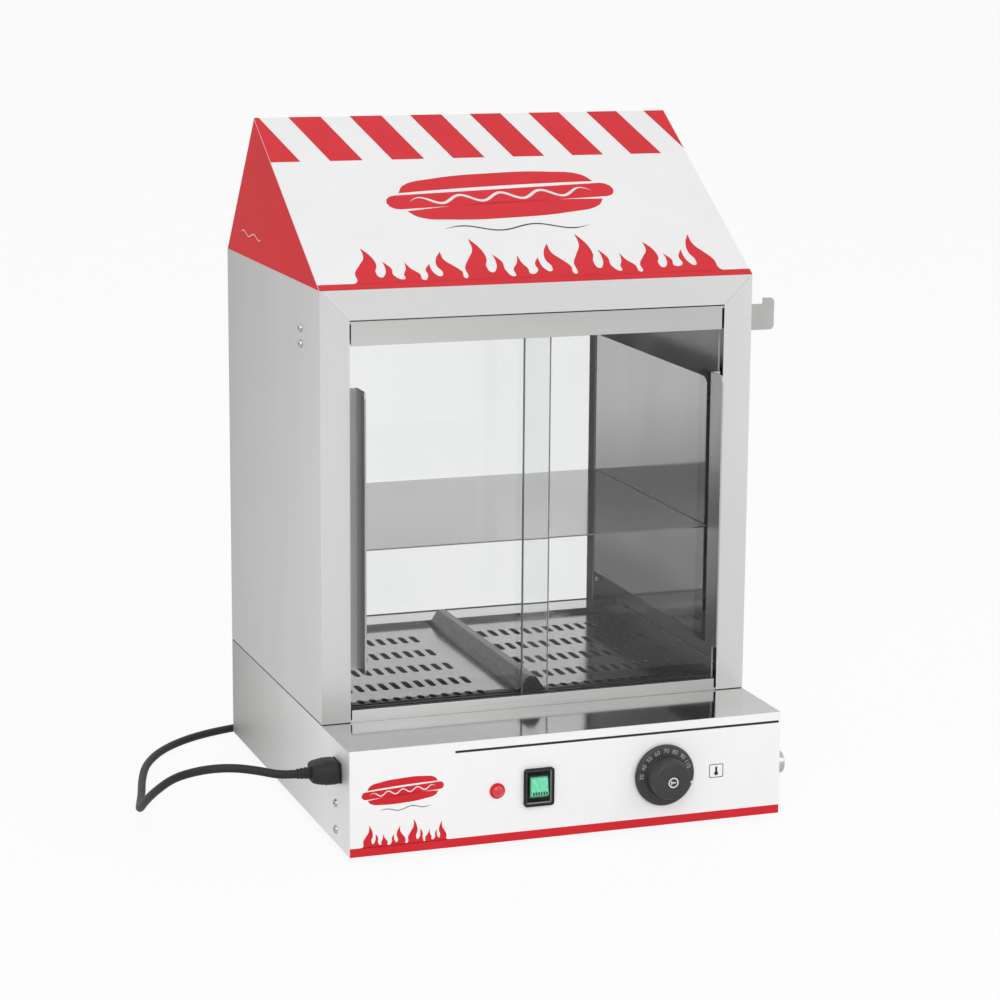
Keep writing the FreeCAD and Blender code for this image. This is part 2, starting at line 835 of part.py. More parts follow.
# Power inlet, connector, cord and plug

def power_inlet():
    outside = f"({left} - inlet_flange)"
    flange = block("inlet_plate", (outside, left), about(inlet_line, "inlet_width"),
                   about(inlet_level, "inlet_height"))
    case = block("inlet_case", (left, f"{left} + skin + inlet_depth"), about(inlet_line, "inlet_body_width"),
                 about(inlet_level, "inlet_body_height"))
    room = block("inlet_room", (f"{outside} - overrun", f"{outside} + socket_depth"),
                 about(inlet_line, "socket_width"), about(inlet_level, "socket_height"))
    shell = trimmed("inlet_shell", joined("inlet_solid", flange, case), room)
    pins = []
    for number in (-1, 0, 1):
        pins.append(block(f"inlet_pin_{number + 1}",
                          (f"{outside} + socket_depth - pin_length", f"{outside} + socket_depth + overrun"),
                          about(f"({inlet_line} + {number} * pin_spread)", "pin_width"),
                          about(inlet_level, "pin_height")))
    piece("power_inlet", joined("inlet", shell, *pins))


def power_connector():
    root = f"({left} - inlet_flange)"
    tail = f"({root} - connector_length)"
    shoulder = f"({root} - connector_length / 2)"
    points = [
        (root, f"{inlet_line} - connector_width / 2"),
        (root, f"{inlet_line} + connector_width / 2"),
        (shoulder, f"{inlet_line} + connector_width / 2"),
        (tail, f"{inlet_line} + relief_radius"),
        (tail, f"{inlet_line} - relief_radius"),
        (shoulder, f"{inlet_line} - connector_width / 2"),
    ]
    grip = drawn_out("connector_grip", "XY_Plane", points, *about(inlet_level, "connector_height"))
    nose = block("connector_nose", (root, f"{root} + socket_depth - skin"),
                 about(inlet_line, "(socket_width - 2 * slip_gap)"),
                 about(inlet_level, "(socket_height - 2 * slip_gap)"))
    relief = rod("connector_relief", "x", "relief_radius", (f"{tail} - relief_length", tail), inlet_line,
                 inlet_level)
    holes = []
    for number in (-1, 0, 1):
        holes.append(block(f"connector_pin_hole_{number + 1}",
                           (f"{root} + socket_depth - pin_length - slip_gap", f"{root} + socket_depth"),
                           about(f"({inlet_line} + {number} * pin_spread)", "(pin_width + 2 * slip_gap)"),
                           about(inlet_level, "(pin_height + 2 * slip_gap)")))
    piece("power_connector", trimmed("connector", joined("connector_solid", grip, nose, relief), *holes))


def cord_run():
    side = size("coil_side") - 2 * size("cord_radius")
    level = size("tie_thick") + size("slip_gap") + size("cord_radius")
    points = [(x, y, z) for x, y, z in cord_route] + [(side, size("coil_back"), level)]
    path, radii = rounded_path(points)
    print("cord radii", [round(radius) for radius in radii], "of", 2 * size("cord_radius"), "diameter")
    piece("cord_run", shaped("cord_run", swept(path, size("cord_radius"), Vector(-1, 0, 0))))


def coil_path():
    # turns spiral in on the table, climb at the inside and spiral out again on top
    pitch = 2 * size("cord_radius") + size("turn_gap")
    step = pitch / 2
    level = size("tie_thick") + size("slip_gap") + size("cord_radius")
    start = Vector(size("coil_side") - 2 * size("cord_radius"), size("coil_back"), level)
    point = Vector(size("coil_side"), size("coil_back"), level)
    edges = [Part.LineSegment(start, point).toShape()]
    steps_in = (0, 1, 2, 3, 2, 1)
    for number, inward in enumerate(steps_in):
        way = 1 if number % 2 == 0 else -1
        climb = pitch if inward == max(steps_in) else 0
        radius = size("coil_radius") - inward * step
        heading = Vector(way, 0, 0)
        halfway = point + Vector(way * radius, way * radius, climb / 2)
        slope = climb / (math.pi * radius)
        halfway_way = Vector(0, way, slope).normalize()
        end = point + Vector(0, 2 * way * radius, climb)
        edges += biarc(point, heading, halfway, halfway_way)
        edges += biarc(halfway, halfway_way, end, Vector(-way, 0, 0))
        point = end
    plug_level = size("plug_radius") + size("slip_gap")
    landing = Vector(point.x + size("coil_radius"), point.y, plug_level)
    edges += biarc(point, Vector(1, 0, 0), landing, Vector(1, 0, 0))
    tail = landing + Vector(2 * size("cord_radius"), 0, 0)
    edges.append(Part.LineSegment(landing, tail).toShape())
    return Part.Wire(edges), tail


def cord_coil():
    path, tail = coil_path()
    print("coil least gap", round(least_gap(path, size("cord_radius")), 2))
    piece("cord_coil", shaped("cord_coil", swept(path, size("cord_radius"), Vector(1, 0, 0))))
    return tail


def coil_tie():
    # a flat band round the turns at the coil's far side
    pitch = 2 * size("cord_radius") + size("turn_gap")
    radius = size("cord_radius")
    gap = size("slip_gap")
    wall = size("tie_thick")
    far = size("coil_back") + 2 * size("coil_radius")
    inner_turn = size("coil_radius") - pitch
    bow = inner_turn - math.sqrt(inner_turn ** 2 - (size("tie_width") / 2) ** 2)
    inner_low = far - pitch - radius - gap - bow
    inner_high = far + radius + gap
    height = 2 * radius + pitch + 2 * gap
    width = size("tie_width")
    across = size("coil_side") - width / 2
    outer = Part.makeBox(width, inner_high - inner_low + 2 * wall, height + 2 * wall,
                         Vector(across, inner_low - wall, 0))
    inner = Part.makeBox(width, inner_high - inner_low, height, Vector(across, inner_low, wall))
    piece("coil_tie", shaped("coil_tie", outer.cut(inner)))


def mains_plug(tail):
    points = [
        ("0", "0"),
        ("cord_radius + relief_length / 4", "0"),
        ("plug_neck_radius", "plug_relief_length"),
        ("plug_radius - relief_length / 2", "plug_relief_length + plug_grip_length"),
        ("plug_radius", "plug_relief_length + plug_grip_length"),
        ("plug_radius", "plug_relief_length + plug_grip_length + plug_body_length"),
        ("0", "plug_relief_length + plug_grip_length + plug_body_length"),
    ]
    x, y, z = (f"({value})" for value in tail)
    parts = [turned("plug_solid", points, "right", x, y, z)]
    start = "plug_relief_length + plug_grip_length + plug_body_length"
    start = f"{x} + {start}"
    for name, spread in (("near", "-plug_pin_spread"), ("far", "+plug_pin_spread")):
        parts.append(rod(f"plug_pin_{name}", "x", "plug_pin_radius", (start, f"{start} + plug_pin_length"),
                         f"{y} {spread}", z))
    piece("mains_plug", joined("plug", *parts))


def console_wiring():
    block_x = about("-width / 4", "block_length")
    block_y = about(f"({front} + block_setback)", "block_width")
    solid = block("terminal_solid", block_x, block_y,
                  ("foot_height + skin", "foot_height + skin + block_height"))
    piece("terminal_block", solid)
    radius = size("wire_radius")
    bend = 4 * radius
    top = size("foot_height") + size("skin") + size("block_height")
    line = -(size("cabinet_depth") + size("console_depth")) / 2
    block_line = line + size("block_setback")
    block_middle = -size("width") / 4
    level = size("foot_height") + size("control_rise")
    above = level + size("switch_height") / 4
    inlet_x = -size("width") / 2 + size("skin") + size("inlet_depth")
    inlet_y = line + size("inlet_setback")
    switch_y = line + size("switch_depth")
    heater_x = -size("heater_half_span")
    heater_y = (size("console_depth") - size("cabinet_depth")) / 2 + size("pan_front") - size("heater_stub")
    heater_z = size("foot_height") + size("base_height") - size("pan_drop") + size("heater_rise")
    inlet_z = size("foot_height") + size("inlet_rise")
    end = block_middle - size("block_length") / 4
    routes = [
        ([(inlet_x, inlet_y, inlet_z), (end, inlet_y, inlet_z), (end, inlet_y, top)], Vector(1, 0, 0)),
        ([(size("switch_side"), switch_y, above), (size("switch_side"), block_line, above),
          (block_middle, block_line, above), (block_middle, block_line, top)], Vector(0, 1, 0)),
        ([(heater_x, heater_y, heater_z), (heater_x, block_line - bend, heater_z),
          (block_middle + size("block_length") / 4, block_line - bend, heater_z),
          (block_middle + size("block_length") / 4, block_line - bend, top)], Vector(0, -1, 0)),
    ]
    tubes = [swept(rounded_path(points, bend)[0], radius, way) for points, way in routes]
    piece("console_wires", shaped("console_wires", Part.makeCompound(tubes)))


# The drain

def drain():
    corner = size("drain_side")
    line = -(size("cabinet_depth") + size("console_depth")) / 2 + size("drain_setback")
    wall = (size("console_depth") - size("cabinet_depth")) / 2 + size("pan_front")
    level = size("foot_height") + size("drain_rise")
    end = size("width") / 2 + size("drain_reach")
    points = [(corner, wall, level), (corner, line, level), (end, line, level)]
    path, radii = rounded_path(points)
    print("drain pipe bend", [round(radius, 1) for radius in radii])
    outer = swept(path, size("drain_radius"), Vector(0, -1, 0))
    inner = swept(path, size("drain_bore"), Vector(0, -1, 0))
    piece("drain_pipe", shaped("drain_pipe", outer.cut(inner)))
    cap_points = [
        ("0", "cap_wall"),
        ("drain_radius + slip_gap", "cap_wall"),
        ("drain_radius + slip_gap", "0"),
        ("cap_radius", "0"),
        ("cap_radius", "cap_length - skin"),
        ("cap_radius - skin", "cap_length"),
        ("0", "cap_length"),
    ]
    piece("drain_cap", turned("cap", cap_points, "right", f"{right} + drain_reach - cap_wall + slip_gap",
                              drain_line, drain_level))


# The glazed cabinet

def side_panels():
    for name, wall, edge, way in (("left", left, left, "+"), ("right", f"{right} - skin", right, "-")):
        sheet_wall = block(f"{name}_wall", (wall, f"{wall} + skin"), (face, rear), (deck, eave))
        inside = f"{edge} {way} post_width"
        points = [(edge, deck), (inside, deck), (inside, f"{eave} - header_height"), (edge, eave)]
        post = drawn_out(f"{name}_post", "XZ_Plane", points, face, f"{face} + skin")
        holes = screw_holes(f"{name}_wall_holes", wall_screw_spots(edge), "x")
        folded = joined(f"{name}_folded", sheet_wall, post)
        piece(f"{name}_side_panel", trimmed(f"{name}_side", folded, holes))


def front_header():
    corner = f"{eave} - skin * header_height / post_width"
    points = [
        (f"{left} + post_width", f"{eave} - header_height"),
        (f"{right} - post_width", f"{eave} - header_height"),
        (f"{right} - skin", corner),
        (f"{right} - skin", eave),
        (f"{left} + skin", eave),
        (f"{left} + skin", corner),
    ]
    piece("front_header", drawn_out("header", "XZ_Plane", points, face, f"{face} + skin"))


def door_tracks():
    across = (f"{left} + skin", f"{right} - skin")
    start = f"({face} + skin)"
    rib = f"({start} + track_lip + groove_width)"
    open_span = (f"{left} + post_width + lip_gap", f"{right} - post_width - lip_gap")
    walls = (
        ("front", open_span, (start, f"{start} + track_lip")),
        ("rib", across, (rib, f"{rib} + track_rib")),
        ("back", across, (f"{track_back} - track_lip", track_back)),
    )
    low = [block("low_track_web", across, (start, track_back), (deck, f"{deck} + track_web"))]
    low_up = (deck, f"{deck} + track_height")
    low += [block(f"low_track_{name}", span, along, low_up) for name, span, along in walls]
    piece("lower_track", joined("low_track", *low))
    top = f"({fascia_low} + fascia_height)"
    high = [block("high_track_web", across, (start, track_back), (f"{top} - track_web", top))]
    high += [block(f"high_track_{name}", span, along, (fascia_low, top)) for name, span, along in walls]
    piece("upper_track", joined("high_track", *high))


def doors():
    up = (f"{deck} + track_web + slip_gap", f"{fascia_low} + glass_bite")
    low = f"{deck} + handle_rise"
    handle_up = (low, f"{low} + handle_length")
    left_edge = f"({left} + post_width + door_inset)"
    right_edge = f"({right} - post_width - door_inset)"
    for name, glass, start, end in (
        ("left", back_glass, left_edge, "door_overlap"),
        ("right", front_glass, "-door_overlap", right_edge),
    ):
        pane = block(f"{name}_pane", (start, end), (glass, f"{glass} + glass_thick"), up)
        piece(f"{name}_door_glass", pane)
        outer = left_edge if name == "left" else f"{right_edge} - handle_flat"
        pull = f"{outer} + handle_flat - handle_sheet" if name == "left" else outer
        flat = block(f"{name}_handle_flat", (outer, f"{outer} + handle_flat"),
                     (f"{glass} - handle_sheet", glass), handle_up)
        grip = round_sheet(f"{name}_handle_pull", (pull, f"{pull} + handle_sheet"),
                           (f"{glass} - handle_pull", glass), handle_up, "handle_round")
        piece(f"{name}_door_handle", joined(f"{name}_handle", flat, grip))


def rear_window():
    plate = block("rear_plate", (f"{left} + skin", f"{right} - skin"), (f"{rear} - skin", rear),
                  (deck, eave))
    window = block("rear_opening", (f"{left} + rear_post", f"{right} - rear_post"),
                   (f"{rear} - skin - overrun", f"{rear} + overrun"),
                   (f"{deck} + rail_height", f"{eave} - rear_header"))
    piece("rear_frame", trimmed("rear_ring", plate, window))
    across = (f"{left} + rear_post - rear_glass_lap", f"{right} - rear_post + rear_glass_lap")
    glass_back = f"({rear} - skin - slip_gap)"
    piece("rear_glass", block("rear_pane", across, (f"{glass_back} - glass_thick", glass_back),
                              (f"{deck} + slip_gap", f"{eave} - rear_header + rear_glass_lap")))
    rail_across = (f"{left} + skin", f"{right} - skin")
    top = f"({deck} + rail_height)"
    rail = joined(
        "rail",
        block("rail_front_wall", rail_across, (rail_front, f"{rail_front} + track_lip"), (deck, top)),
        block("rail_web", rail_across, (rail_front, rail_back), (f"{top} - track_lip", top)),
        block("rail_back_wall", rail_across, (f"{rail_back} - track_lip", rail_back), (deck, top)),
    )
    piece("rear_rail", rail)


def ceiling_panel():
    piece("ceiling_panel", block("ceiling", (f"{left} + skin", f"{right} - skin"),
                                 (f"{face} + skin", f"{rear} - skin"), (f"{eave} - skin", eave)))


def baffles():
    along = (f"{face} + baffle_front", f"{rear} - baffle_back")
    up = (f"{deck} + baffle_low", f"{deck} + baffle_high")
    for name, start, inner in (
        ("left", f"({left} + skin)", f"({left} + skin + baffle_standoff)"),
        ("right", f"({right} - skin - baffle_standoff)", f"({right} - skin - baffle_standoff - skin)"),
    ):
        across = (inner, f"{inner} + skin")
        piece(f"{name}_steam_baffle", round_sheet(f"{name}_baffle", across, along, up, "baffle_round"))
        spacers = []
        for number, y in enumerate((f"{along[0]} + spacer_inset", f"{along[1]} - spacer_inset")):
            for level, z in enumerate((f"{up[0]} + spacer_inset", f"{up[1]} - spacer_inset")):
                spacers.append(rod(f"{name}_spacer_{number}_{level}", "x", "spacer_radius",
                                   (start, f"{start} + baffle_standoff"), y, z))
        piece(f"{name}_baffle_spacers", joined(f"{name}_spacers", *spacers))


def shelf():
    wall = "(skin + baffle_standoff + skin)"
    piece("shelf", block("shelf_plate", (f"{left} + {wall} + fit_gap", f"{right} - {wall} - fit_gap"),
                         (f"{track_back} + overrun", f"{rear} - baffle_back + skin"),
                         (f"{shelf_top} - shelf_sheet", shelf_top)))
    rests = []
    under = f"{shelf_top} - shelf_sheet"
    for side, span in (("left", (f"{left} + {wall}", f"{left} + {wall} + rest_reach")),
                       ("right", (f"{right} - {wall} - rest_reach", f"{right} - {wall}"))):
        starts = (f"{face} + baffle_front + rest_inset", f"{rear} - baffle_back - rest_inset - rest_length")
        for number, start in enumerate(starts):
            rests.append(block(f"{side}_rest_{number}", span, (start, f"{start} + rest_length"),
                               (f"{under} - rest_sheet", under)))
    piece("shelf_rests", joined("rests", *rests))


def tray_slots(name, first, columns):
    # slots in rows from the back of the tray, and a short row at its front edge
    sheet_low = size("foot_height") + size("base_height") - size("overrun")
    height = size("pan_sheet") + size("tray_height") + 2 * size("overrun")
    back = (size("cabinet_depth") + size("console_depth")) / 2
    back -= size("skin") + size("rail_setback") + size("rail_depth")
    front_edge = (size("console_depth") - size("cabinet_depth")) / 2
    front_edge += size("skin") + 2 * size("track_lip") + 2 * size("groove_width") + size("track_rib")
    depth = back - front_edge
    shares = [back_row_share + row * row_pitch_share for row in range(slot_rows)]
    rows = [(back - share * depth, size("slot_length")) for share in shares]
    rows.append((front_edge + size("front_slot_length"), size("front_slot_length")))
    pitch = slot_pitch_share * tray_width()
    slots = [
        slot_shape(first + column * pitch, y, sheet_low, length, size("slot_width"), height)
        for column in range(columns)
        for y, length in rows
    ]
    return shaped(name, Part.makeCompound(slots))


def tray_width():
    return (size("width") - size("ridge_width")) / 2 - size("skin") - 2 * size("fit_gap")


def trays():
    side = "(ridge_width / 2 + fit_gap)"
    middle = size("ridge_width") / 2
    left_span = left_margin_share + (left_slot_columns - 1) * slot_pitch_share
    left_first = -middle - left_span * tray_width()
    right_first = middle + right_margin_share * tray_width()
    along = (f"{track_back} + fit_gap", f"{rail_front} - fit_gap")
    for name, across, first, columns in (
        ("left", (f"{left} + skin + fit_gap", f"-{side}"), left_first, left_slot_columns),
        ("right", (side, f"{right} - skin - fit_gap"), right_first, right_slot_columns),
    ):
        outer = block(f"{name}_tray_outer", across, along, (tray_low, f"{tray_low} + tray_height"))
        hollow = block(f"{name}_tray_hollow", (f"{across[0]} + tray_sheet", f"{across[1]} - tray_sheet"),
                       (f"{along[0]} + tray_sheet", f"{along[1]} - tray_sheet"),
                       (f"{tray_low} - overrun", f"{tray_low} + tray_height - tray_sheet"))
        slots = tray_slots(f"{name}_tray_slots", first, columns)
        piece(f"{name}_tray", trimmed(f"{name}_tray_cut", outer, hollow, slots))
    shoulder = f"{tray_low} + tray_height"
    crown = f"{shoulder} + ridge_rise"
    points = [
        ("-ridge_width / 2", tray_low),
        ("-ridge_width / 2", shoulder),
        ("-ridge_crown / 2", crown),
        ("ridge_crown / 2", crown),
        ("ridge_width / 2", shoulder),
        ("ridge_width / 2", tray_low),
        ("ridge_width / 2 - tray_sheet", tray_low),
        ("ridge_width / 2 - tray_sheet", f"{shoulder} - tray_sheet / 2"),
        ("ridge_crown / 2 - tray_sheet / 2", f"{crown} - tray_sheet"),
        ("-ridge_crown / 2 + tray_sheet / 2", f"{crown} - tray_sheet"),
        ("-ridge_width / 2 + tray_sheet", f"{shoulder} - tray_sheet / 2"),
        ("-ridge_width / 2 + tray_sheet", tray_low),
    ]
    piece("tray_ridge", drawn_out("tray_ridge", "XZ_Plane", points, *along))


def roof():
    top = f"({eave} + roof_rise)"
    front_inset = "(roof_skin * ridge_setback / roof_rise)"
    back_inset = "(roof_skin * (cabinet_depth - ridge_setback) / roof_rise)"
    points = [
        (face, eave),
        (ridge_line, top),
        (rear, eave),
        (f"{rear} - {back_inset}", eave),
        (ridge_line, f"{top} - roof_skin"),
        (f"{face} + {front_inset}", eave),
    ]
    piece("roof_sheet", drawn_out("roof", "YZ_Plane", points, left, right))
    end_points = [
        (f"{face} + {front_inset}", eave),
        (ridge_line, f"{top} - roof_skin"),
        (f"{rear} - {back_inset}", eave),
    ]
    piece("left_gable", drawn_out("left_gable", "YZ_Plane", end_points, left, f"{left} + skin"))
    piece("right_gable", drawn_out("right_gable", "YZ_Plane", end_points, f"{right} - skin", right))


def tong_hook():
    outside = f"({right} + hook_reach)"
    line = f"({face} + hook_setback)"
    low = f"({deck} + hook_low)"
    top = f"({low} + hook_height)"
    leg = block("hook_leg", (right, f"{right} + hook_sheet"), (line, f"{line} + hook_leg"), (low, top))
    arm = block("hook_arm", (right, f"{outside} - hook_round"), (line, f"{line} + hook_sheet"), (low, top))
    end = block("hook_end", (f"{outside} - hook_lip", outside), (line, f"{line} + hook_sheet"),
                (f"{low} + hook_round", f"{top} + hook_lip_rise - hook_round"))
    along = (line, f"{line} + hook_sheet")
    lip = block("hook_lip_top", (f"{outside} - hook_lip", f"{outside} - hook_round"), along,
                (top, f"{top} + hook_lip_rise"))
    low_corner = rod("hook_low_corner", "y", "hook_round", f"{outside} - hook_round", along,
                     f"{low} + hook_round")
    high_corner = rod("hook_high_corner", "y", "hook_round", f"{outside} - hook_round", along,
                      f"{top} + hook_lip_rise - hook_round")
    solid = joined("hook_solid", leg, arm, end, lip, low_corner, high_corner)
    holes = screw_holes("hook_holes", wall_screw_spots(right), "x")
    piece("tong_hook", trimmed("hook", solid, holes))


def check_document():
    # stops at an object that failed or a sub-part without a sound shape
    failed = [item.Name for item in doc.Objects if "Invalid" in item.State or "Error" in item.State]
    unsound = [item.Label for item in pieces if item.Shape.isNull() or not item.Shape.isValid()]
    if failed or unsound:
        raise RuntimeError(f"failed objects {failed}, unsound sub-parts {unsound}")


base_housing()
control_panel()
top_ledge()
bottom_cover()
feet()
side_and_hook_screws()
water_pan()
heating_element()
heater_nuts()
low_water_probe()
thermostat()
thermostat_dial()
rocker_switch()
indicator_lamp()
power_inlet()
power_connector()
cord_run()
cord_tail = cord_coil()
coil_tie()
mains_plug(cord_tail)
console_wiring()
drain()
side_panels()
front_header()
door_tracks()
doors()
rear_window()
ceiling_panel()
baffles()
shelf()
trays()
roof()
tong_hook()
doc.recompute()
check_document()
os.makedirs("parts", exist_ok=True)
for item in pieces:
    item.Shape.exportStep(f"parts/{item.Label}.step")
print(len(pieces), "sub-parts written")
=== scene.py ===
import json
import math

import bmesh
import bpy
from mathutils import Matrix, Vector


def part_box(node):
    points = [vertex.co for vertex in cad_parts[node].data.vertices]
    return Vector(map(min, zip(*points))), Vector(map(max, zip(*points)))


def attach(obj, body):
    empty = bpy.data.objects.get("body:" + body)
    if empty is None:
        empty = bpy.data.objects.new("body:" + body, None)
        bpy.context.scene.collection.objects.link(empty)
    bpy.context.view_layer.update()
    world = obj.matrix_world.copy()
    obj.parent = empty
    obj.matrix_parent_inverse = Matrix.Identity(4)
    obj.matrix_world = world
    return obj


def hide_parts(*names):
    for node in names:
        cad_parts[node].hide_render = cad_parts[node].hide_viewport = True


# Looks of the hot dog steamer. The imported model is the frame: X to the right, Y to the back, Z up, in metres.

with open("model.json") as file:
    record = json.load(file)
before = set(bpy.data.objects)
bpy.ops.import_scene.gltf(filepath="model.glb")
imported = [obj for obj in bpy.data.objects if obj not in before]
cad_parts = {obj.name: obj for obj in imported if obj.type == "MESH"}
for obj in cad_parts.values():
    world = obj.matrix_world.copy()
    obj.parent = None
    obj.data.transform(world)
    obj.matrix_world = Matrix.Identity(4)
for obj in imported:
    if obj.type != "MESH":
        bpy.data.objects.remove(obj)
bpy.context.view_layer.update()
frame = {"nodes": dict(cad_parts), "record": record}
nodes = frame["nodes"]
bodyOf = {}
for bodyName, nodeNames in frame["record"]["behaviour"]["bodies"].items():
    for nodeName in nodeNames:
        bodyOf[nodeName] = bodyName
print("frame loaded")

# Small helpers


def srgb(code, alpha=1.0):
    # a hex colour as the eye sees it, turned to the linear values that shaders use
    parts = [int(code[i:i + 2], 16) / 255 for i in (0, 2, 4)]
    linear = [p / 12.92 if p <= 0.04045 else ((p + 0.055) / 1.055) ** 2.4 for p in parts]
    return (*linear, alpha)


# places closer together than this count as the same
nearby = 0.0001


def newObject(name, data):
    made = bpy.data.objects.new(name, data)
    bpy.context.scene.collection.objects.link(made)
    return made


def placed(spot, *turns):
    # a place that is shifted to the spot, then turned by degrees about its own axes
    place = Matrix.Translation(spot)
    for degrees, axis in turns:
        place = place @ Matrix.Rotation(math.radians(degrees), 4, axis)
    return place


def clearSelection():
    if bpy.context.object and bpy.context.object.mode != "OBJECT":
        bpy.ops.object.mode_set(mode="OBJECT")
    bpy.ops.object.select_all(action="DESELECT")


def selectOnly(piece):
    clearSelection()
    piece.select_set(True)
    bpy.context.view_layer.objects.active = piece


def applyPlace(piece):
    selectOnly(piece)
    bpy.ops.object.transform_apply(location=True, rotation=True, scale=True)


def applyAll(piece):
    selectOnly(piece)
    for modifier in list(piece.modifiers):
        bpy.ops.object.modifier_apply(modifier=modifier.name)


def addBevel(piece, width, segments=2, angle=30):
    bevel = piece.modifiers.new("Edge", "BEVEL")
    bevel.width = width
    bevel.segments = segments
    bevel.limit_method = "ANGLE"
    bevel.angle_limit = math.radians(angle)
    bevel.use_clamp_overlap = True
    applyAll(piece)


def smooth(piece, angle=35, weighted=False):
    # weighted normals keep large flat faces flat right up to their narrow rounded edges
    selectOnly(piece)
    bpy.ops.object.shade_smooth_by_angle(angle=math.radians(angle))
    if weighted:
        piece.modifiers.new("Flat", "WEIGHTED_NORMAL").keep_sharp = True
        applyAll(piece)


def dress(piece, material, body, others=()):
    # materials are laid in their slots, and the faces keep the slot that each was given
    indexes = [face.material_index for face in piece.data.polygons] if piece.type == "MESH" else []
    piece.data.materials.clear()
    for each in (material, *others):
        piece.data.materials.append(each)
    if others:
        piece.data.polygons.foreach_set("material_index", indexes)
    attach(piece, body)
    return piece


def joinPieces(name, parts):
    clearSelection()
    for part in parts:
        part.select_set(True)
    bpy.context.view_layer.objects.active = parts[0]
    if len(parts) > 1:
        bpy.ops.object.join()
    joined = bpy.context.object
    joined.name = name
    joined.data.name = name
    return joined


def startEdit(piece, kind):
    # edit mode with nothing chosen yet
    selectOnly(piece)
    bpy.ops.object.mode_set(mode="EDIT")
    bpy.ops.mesh.select_mode(type=kind)
    bpy.ops.mesh.select_all(action="DESELECT")
    return bmesh.from_edit_mesh(piece.data)


def chooseFaces(piece, test):
    # edit mode with only the faces chosen whose middle and normal pass the test
    shape = startEdit(piece, "FACE")
    for face in shape.faces:
        face.select = test(face.calc_center_median(), face.normal)
    bmesh.update_edit_mesh(piece.data)


def cutAcross(piece, point, normal):
    # every face that the plane crosses is divided there
    chooseFaces(piece, lambda middle, direction: True)
    bpy.ops.mesh.bisect(plane_co=point, plane_no=normal)
    bpy.ops.object.mode_set(mode="OBJECT")


def addSlots(piece, index):
    while len(piece.data.materials) <= index:
        piece.data.materials.append(None)


def bevelEdges(piece, test, width, segments=1, materialIndex=-1):
    # edges that pass the test of their two ends are bevelled, and the new faces may take another material
    addSlots(piece, materialIndex)
    shape = startEdit(piece, "EDGE")
    for edge in shape.edges:
        edge.select = test(*(corner.co for corner in edge.verts))
    bmesh.update_edit_mesh(piece.data)
    bpy.ops.mesh.bevel(offset=width, segments=segments, affect="EDGES", material=materialIndex)
    bpy.ops.object.mode_set(mode="OBJECT")


def startCube(name, low, high):
    # a cube primitive between two corners
    clearSelection()
    middle = [(a + b) / 2 for a, b in zip(low, high)]
    size = [b - a for a, b in zip(low, high)]
    bpy.ops.mesh.primitive_cube_add(size=1, location=middle)
    piece = bpy.context.object
    piece.scale = size
    piece.name = name
    applyPlace(piece)
    return piece


def startRod(name, radius, length, centre, turn, sides):
    clearSelection()
    bpy.ops.mesh.primitive_cylinder_add(
        vertices=sides, radius=radius, depth=length, location=centre, rotation=turn)
    piece = bpy.context.object
    piece.name = name
    applyPlace(piece)
    return piece


def spunShape(name, profile, place, sides):
    # a turned piece: its outline of radius and height is spun about Z, then placed
    clearSelection()
    bpy.ops.mesh.primitive_plane_add(size=0.001)
    piece = bpy.context.object
    piece.name = name
    shape = bmesh.new()
    corners = [shape.verts.new((radius, 0, height)) for radius, height in profile]
    for one, two in zip(corners, corners[1:]):
        shape.edges.new((one, two))
    shape.to_mesh(piece.data)
    shape.free()
    bpy.ops.object.mode_set(mode="EDIT")
    bpy.ops.mesh.select_all(action="SELECT")
    bpy.ops.mesh.spin(steps=sides, angle=math.tau, center=(0, 0, 0), axis=(0, 0, 1))
    bpy.ops.mesh.select_all(action="SELECT")
    bpy.ops.mesh.remove_doubles(threshold=0.000001)
    bpy.ops.mesh.normals_make_consistent(inside=False)
    bpy.ops.object.mode_set(mode="OBJECT")
    piece.matrix_world = place
    applyPlace(piece)
    return piece


def mergedCopy(name, *nodeNames):
    # a copy of CAD nodes with its loose triangles merged and its flat faces made whole
    piece = joinPieces(name, [newObject(name, nodes[nodeName].data.copy()) for nodeName in nodeNames])
    bpy.ops.object.mode_set(mode="EDIT")
    bpy.ops.mesh.select_all(action="SELECT")
    bpy.ops.mesh.remove_doubles(threshold=0.000002)
    bpy.ops.mesh.dissolve_limited(angle_limit=math.radians(0.5))
    bpy.ops.object.mode_set(mode="OBJECT")
    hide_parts(*nodeNames)
    return piece


# The camera stands where the photograph was taken from

cameraFacts = {
    "place": (-0.8211, -2.3237, 0.7682),
    "yaw": -19.55,
    "pitch": 11.83,
    "roll": 0.42,
    "lens": 103.78,
    "sensor": 36,
    "farEnd": 50,
}


def makeCamera():
    facts = cameraFacts
    lensData = bpy.data.cameras.new("photoCamera")
    lensData.lens = facts["lens"]
    lensData.sensor_width = facts["sensor"]
    lensData.clip_end = facts["farEnd"]
    camera = newObject("photoCamera", lensData)
    camera.matrix_world = placed(
        facts["place"], (facts["yaw"], "Z"), (90 - facts["pitch"], "X"), (facts["roll"], "Z"))
    bpy.context.scene.camera = camera


makeCamera()

# Materials: one function adds a node, and each material says what its real one is


def feedInputs(tree, node, inputs):
    # each input takes either a fixed value or another node's socket
    for key, source in inputs.items():
        if isinstance(source, bpy.types.NodeSocket):
            tree.links.new(source, node.inputs[key])
        else:
            node.inputs[key].default_value = source


def addNode(tree, kind, inputs, **settings):
    node = tree.nodes.new(kind)
    for key, value in settings.items():
        setattr(node, key, value)
    feedInputs(tree, node, inputs)
    return node


def mathNode(tree, operation, one, two):
    return addNode(tree, "ShaderNodeMath", {0: one, 1: two}, operation=operation).outputs[0]


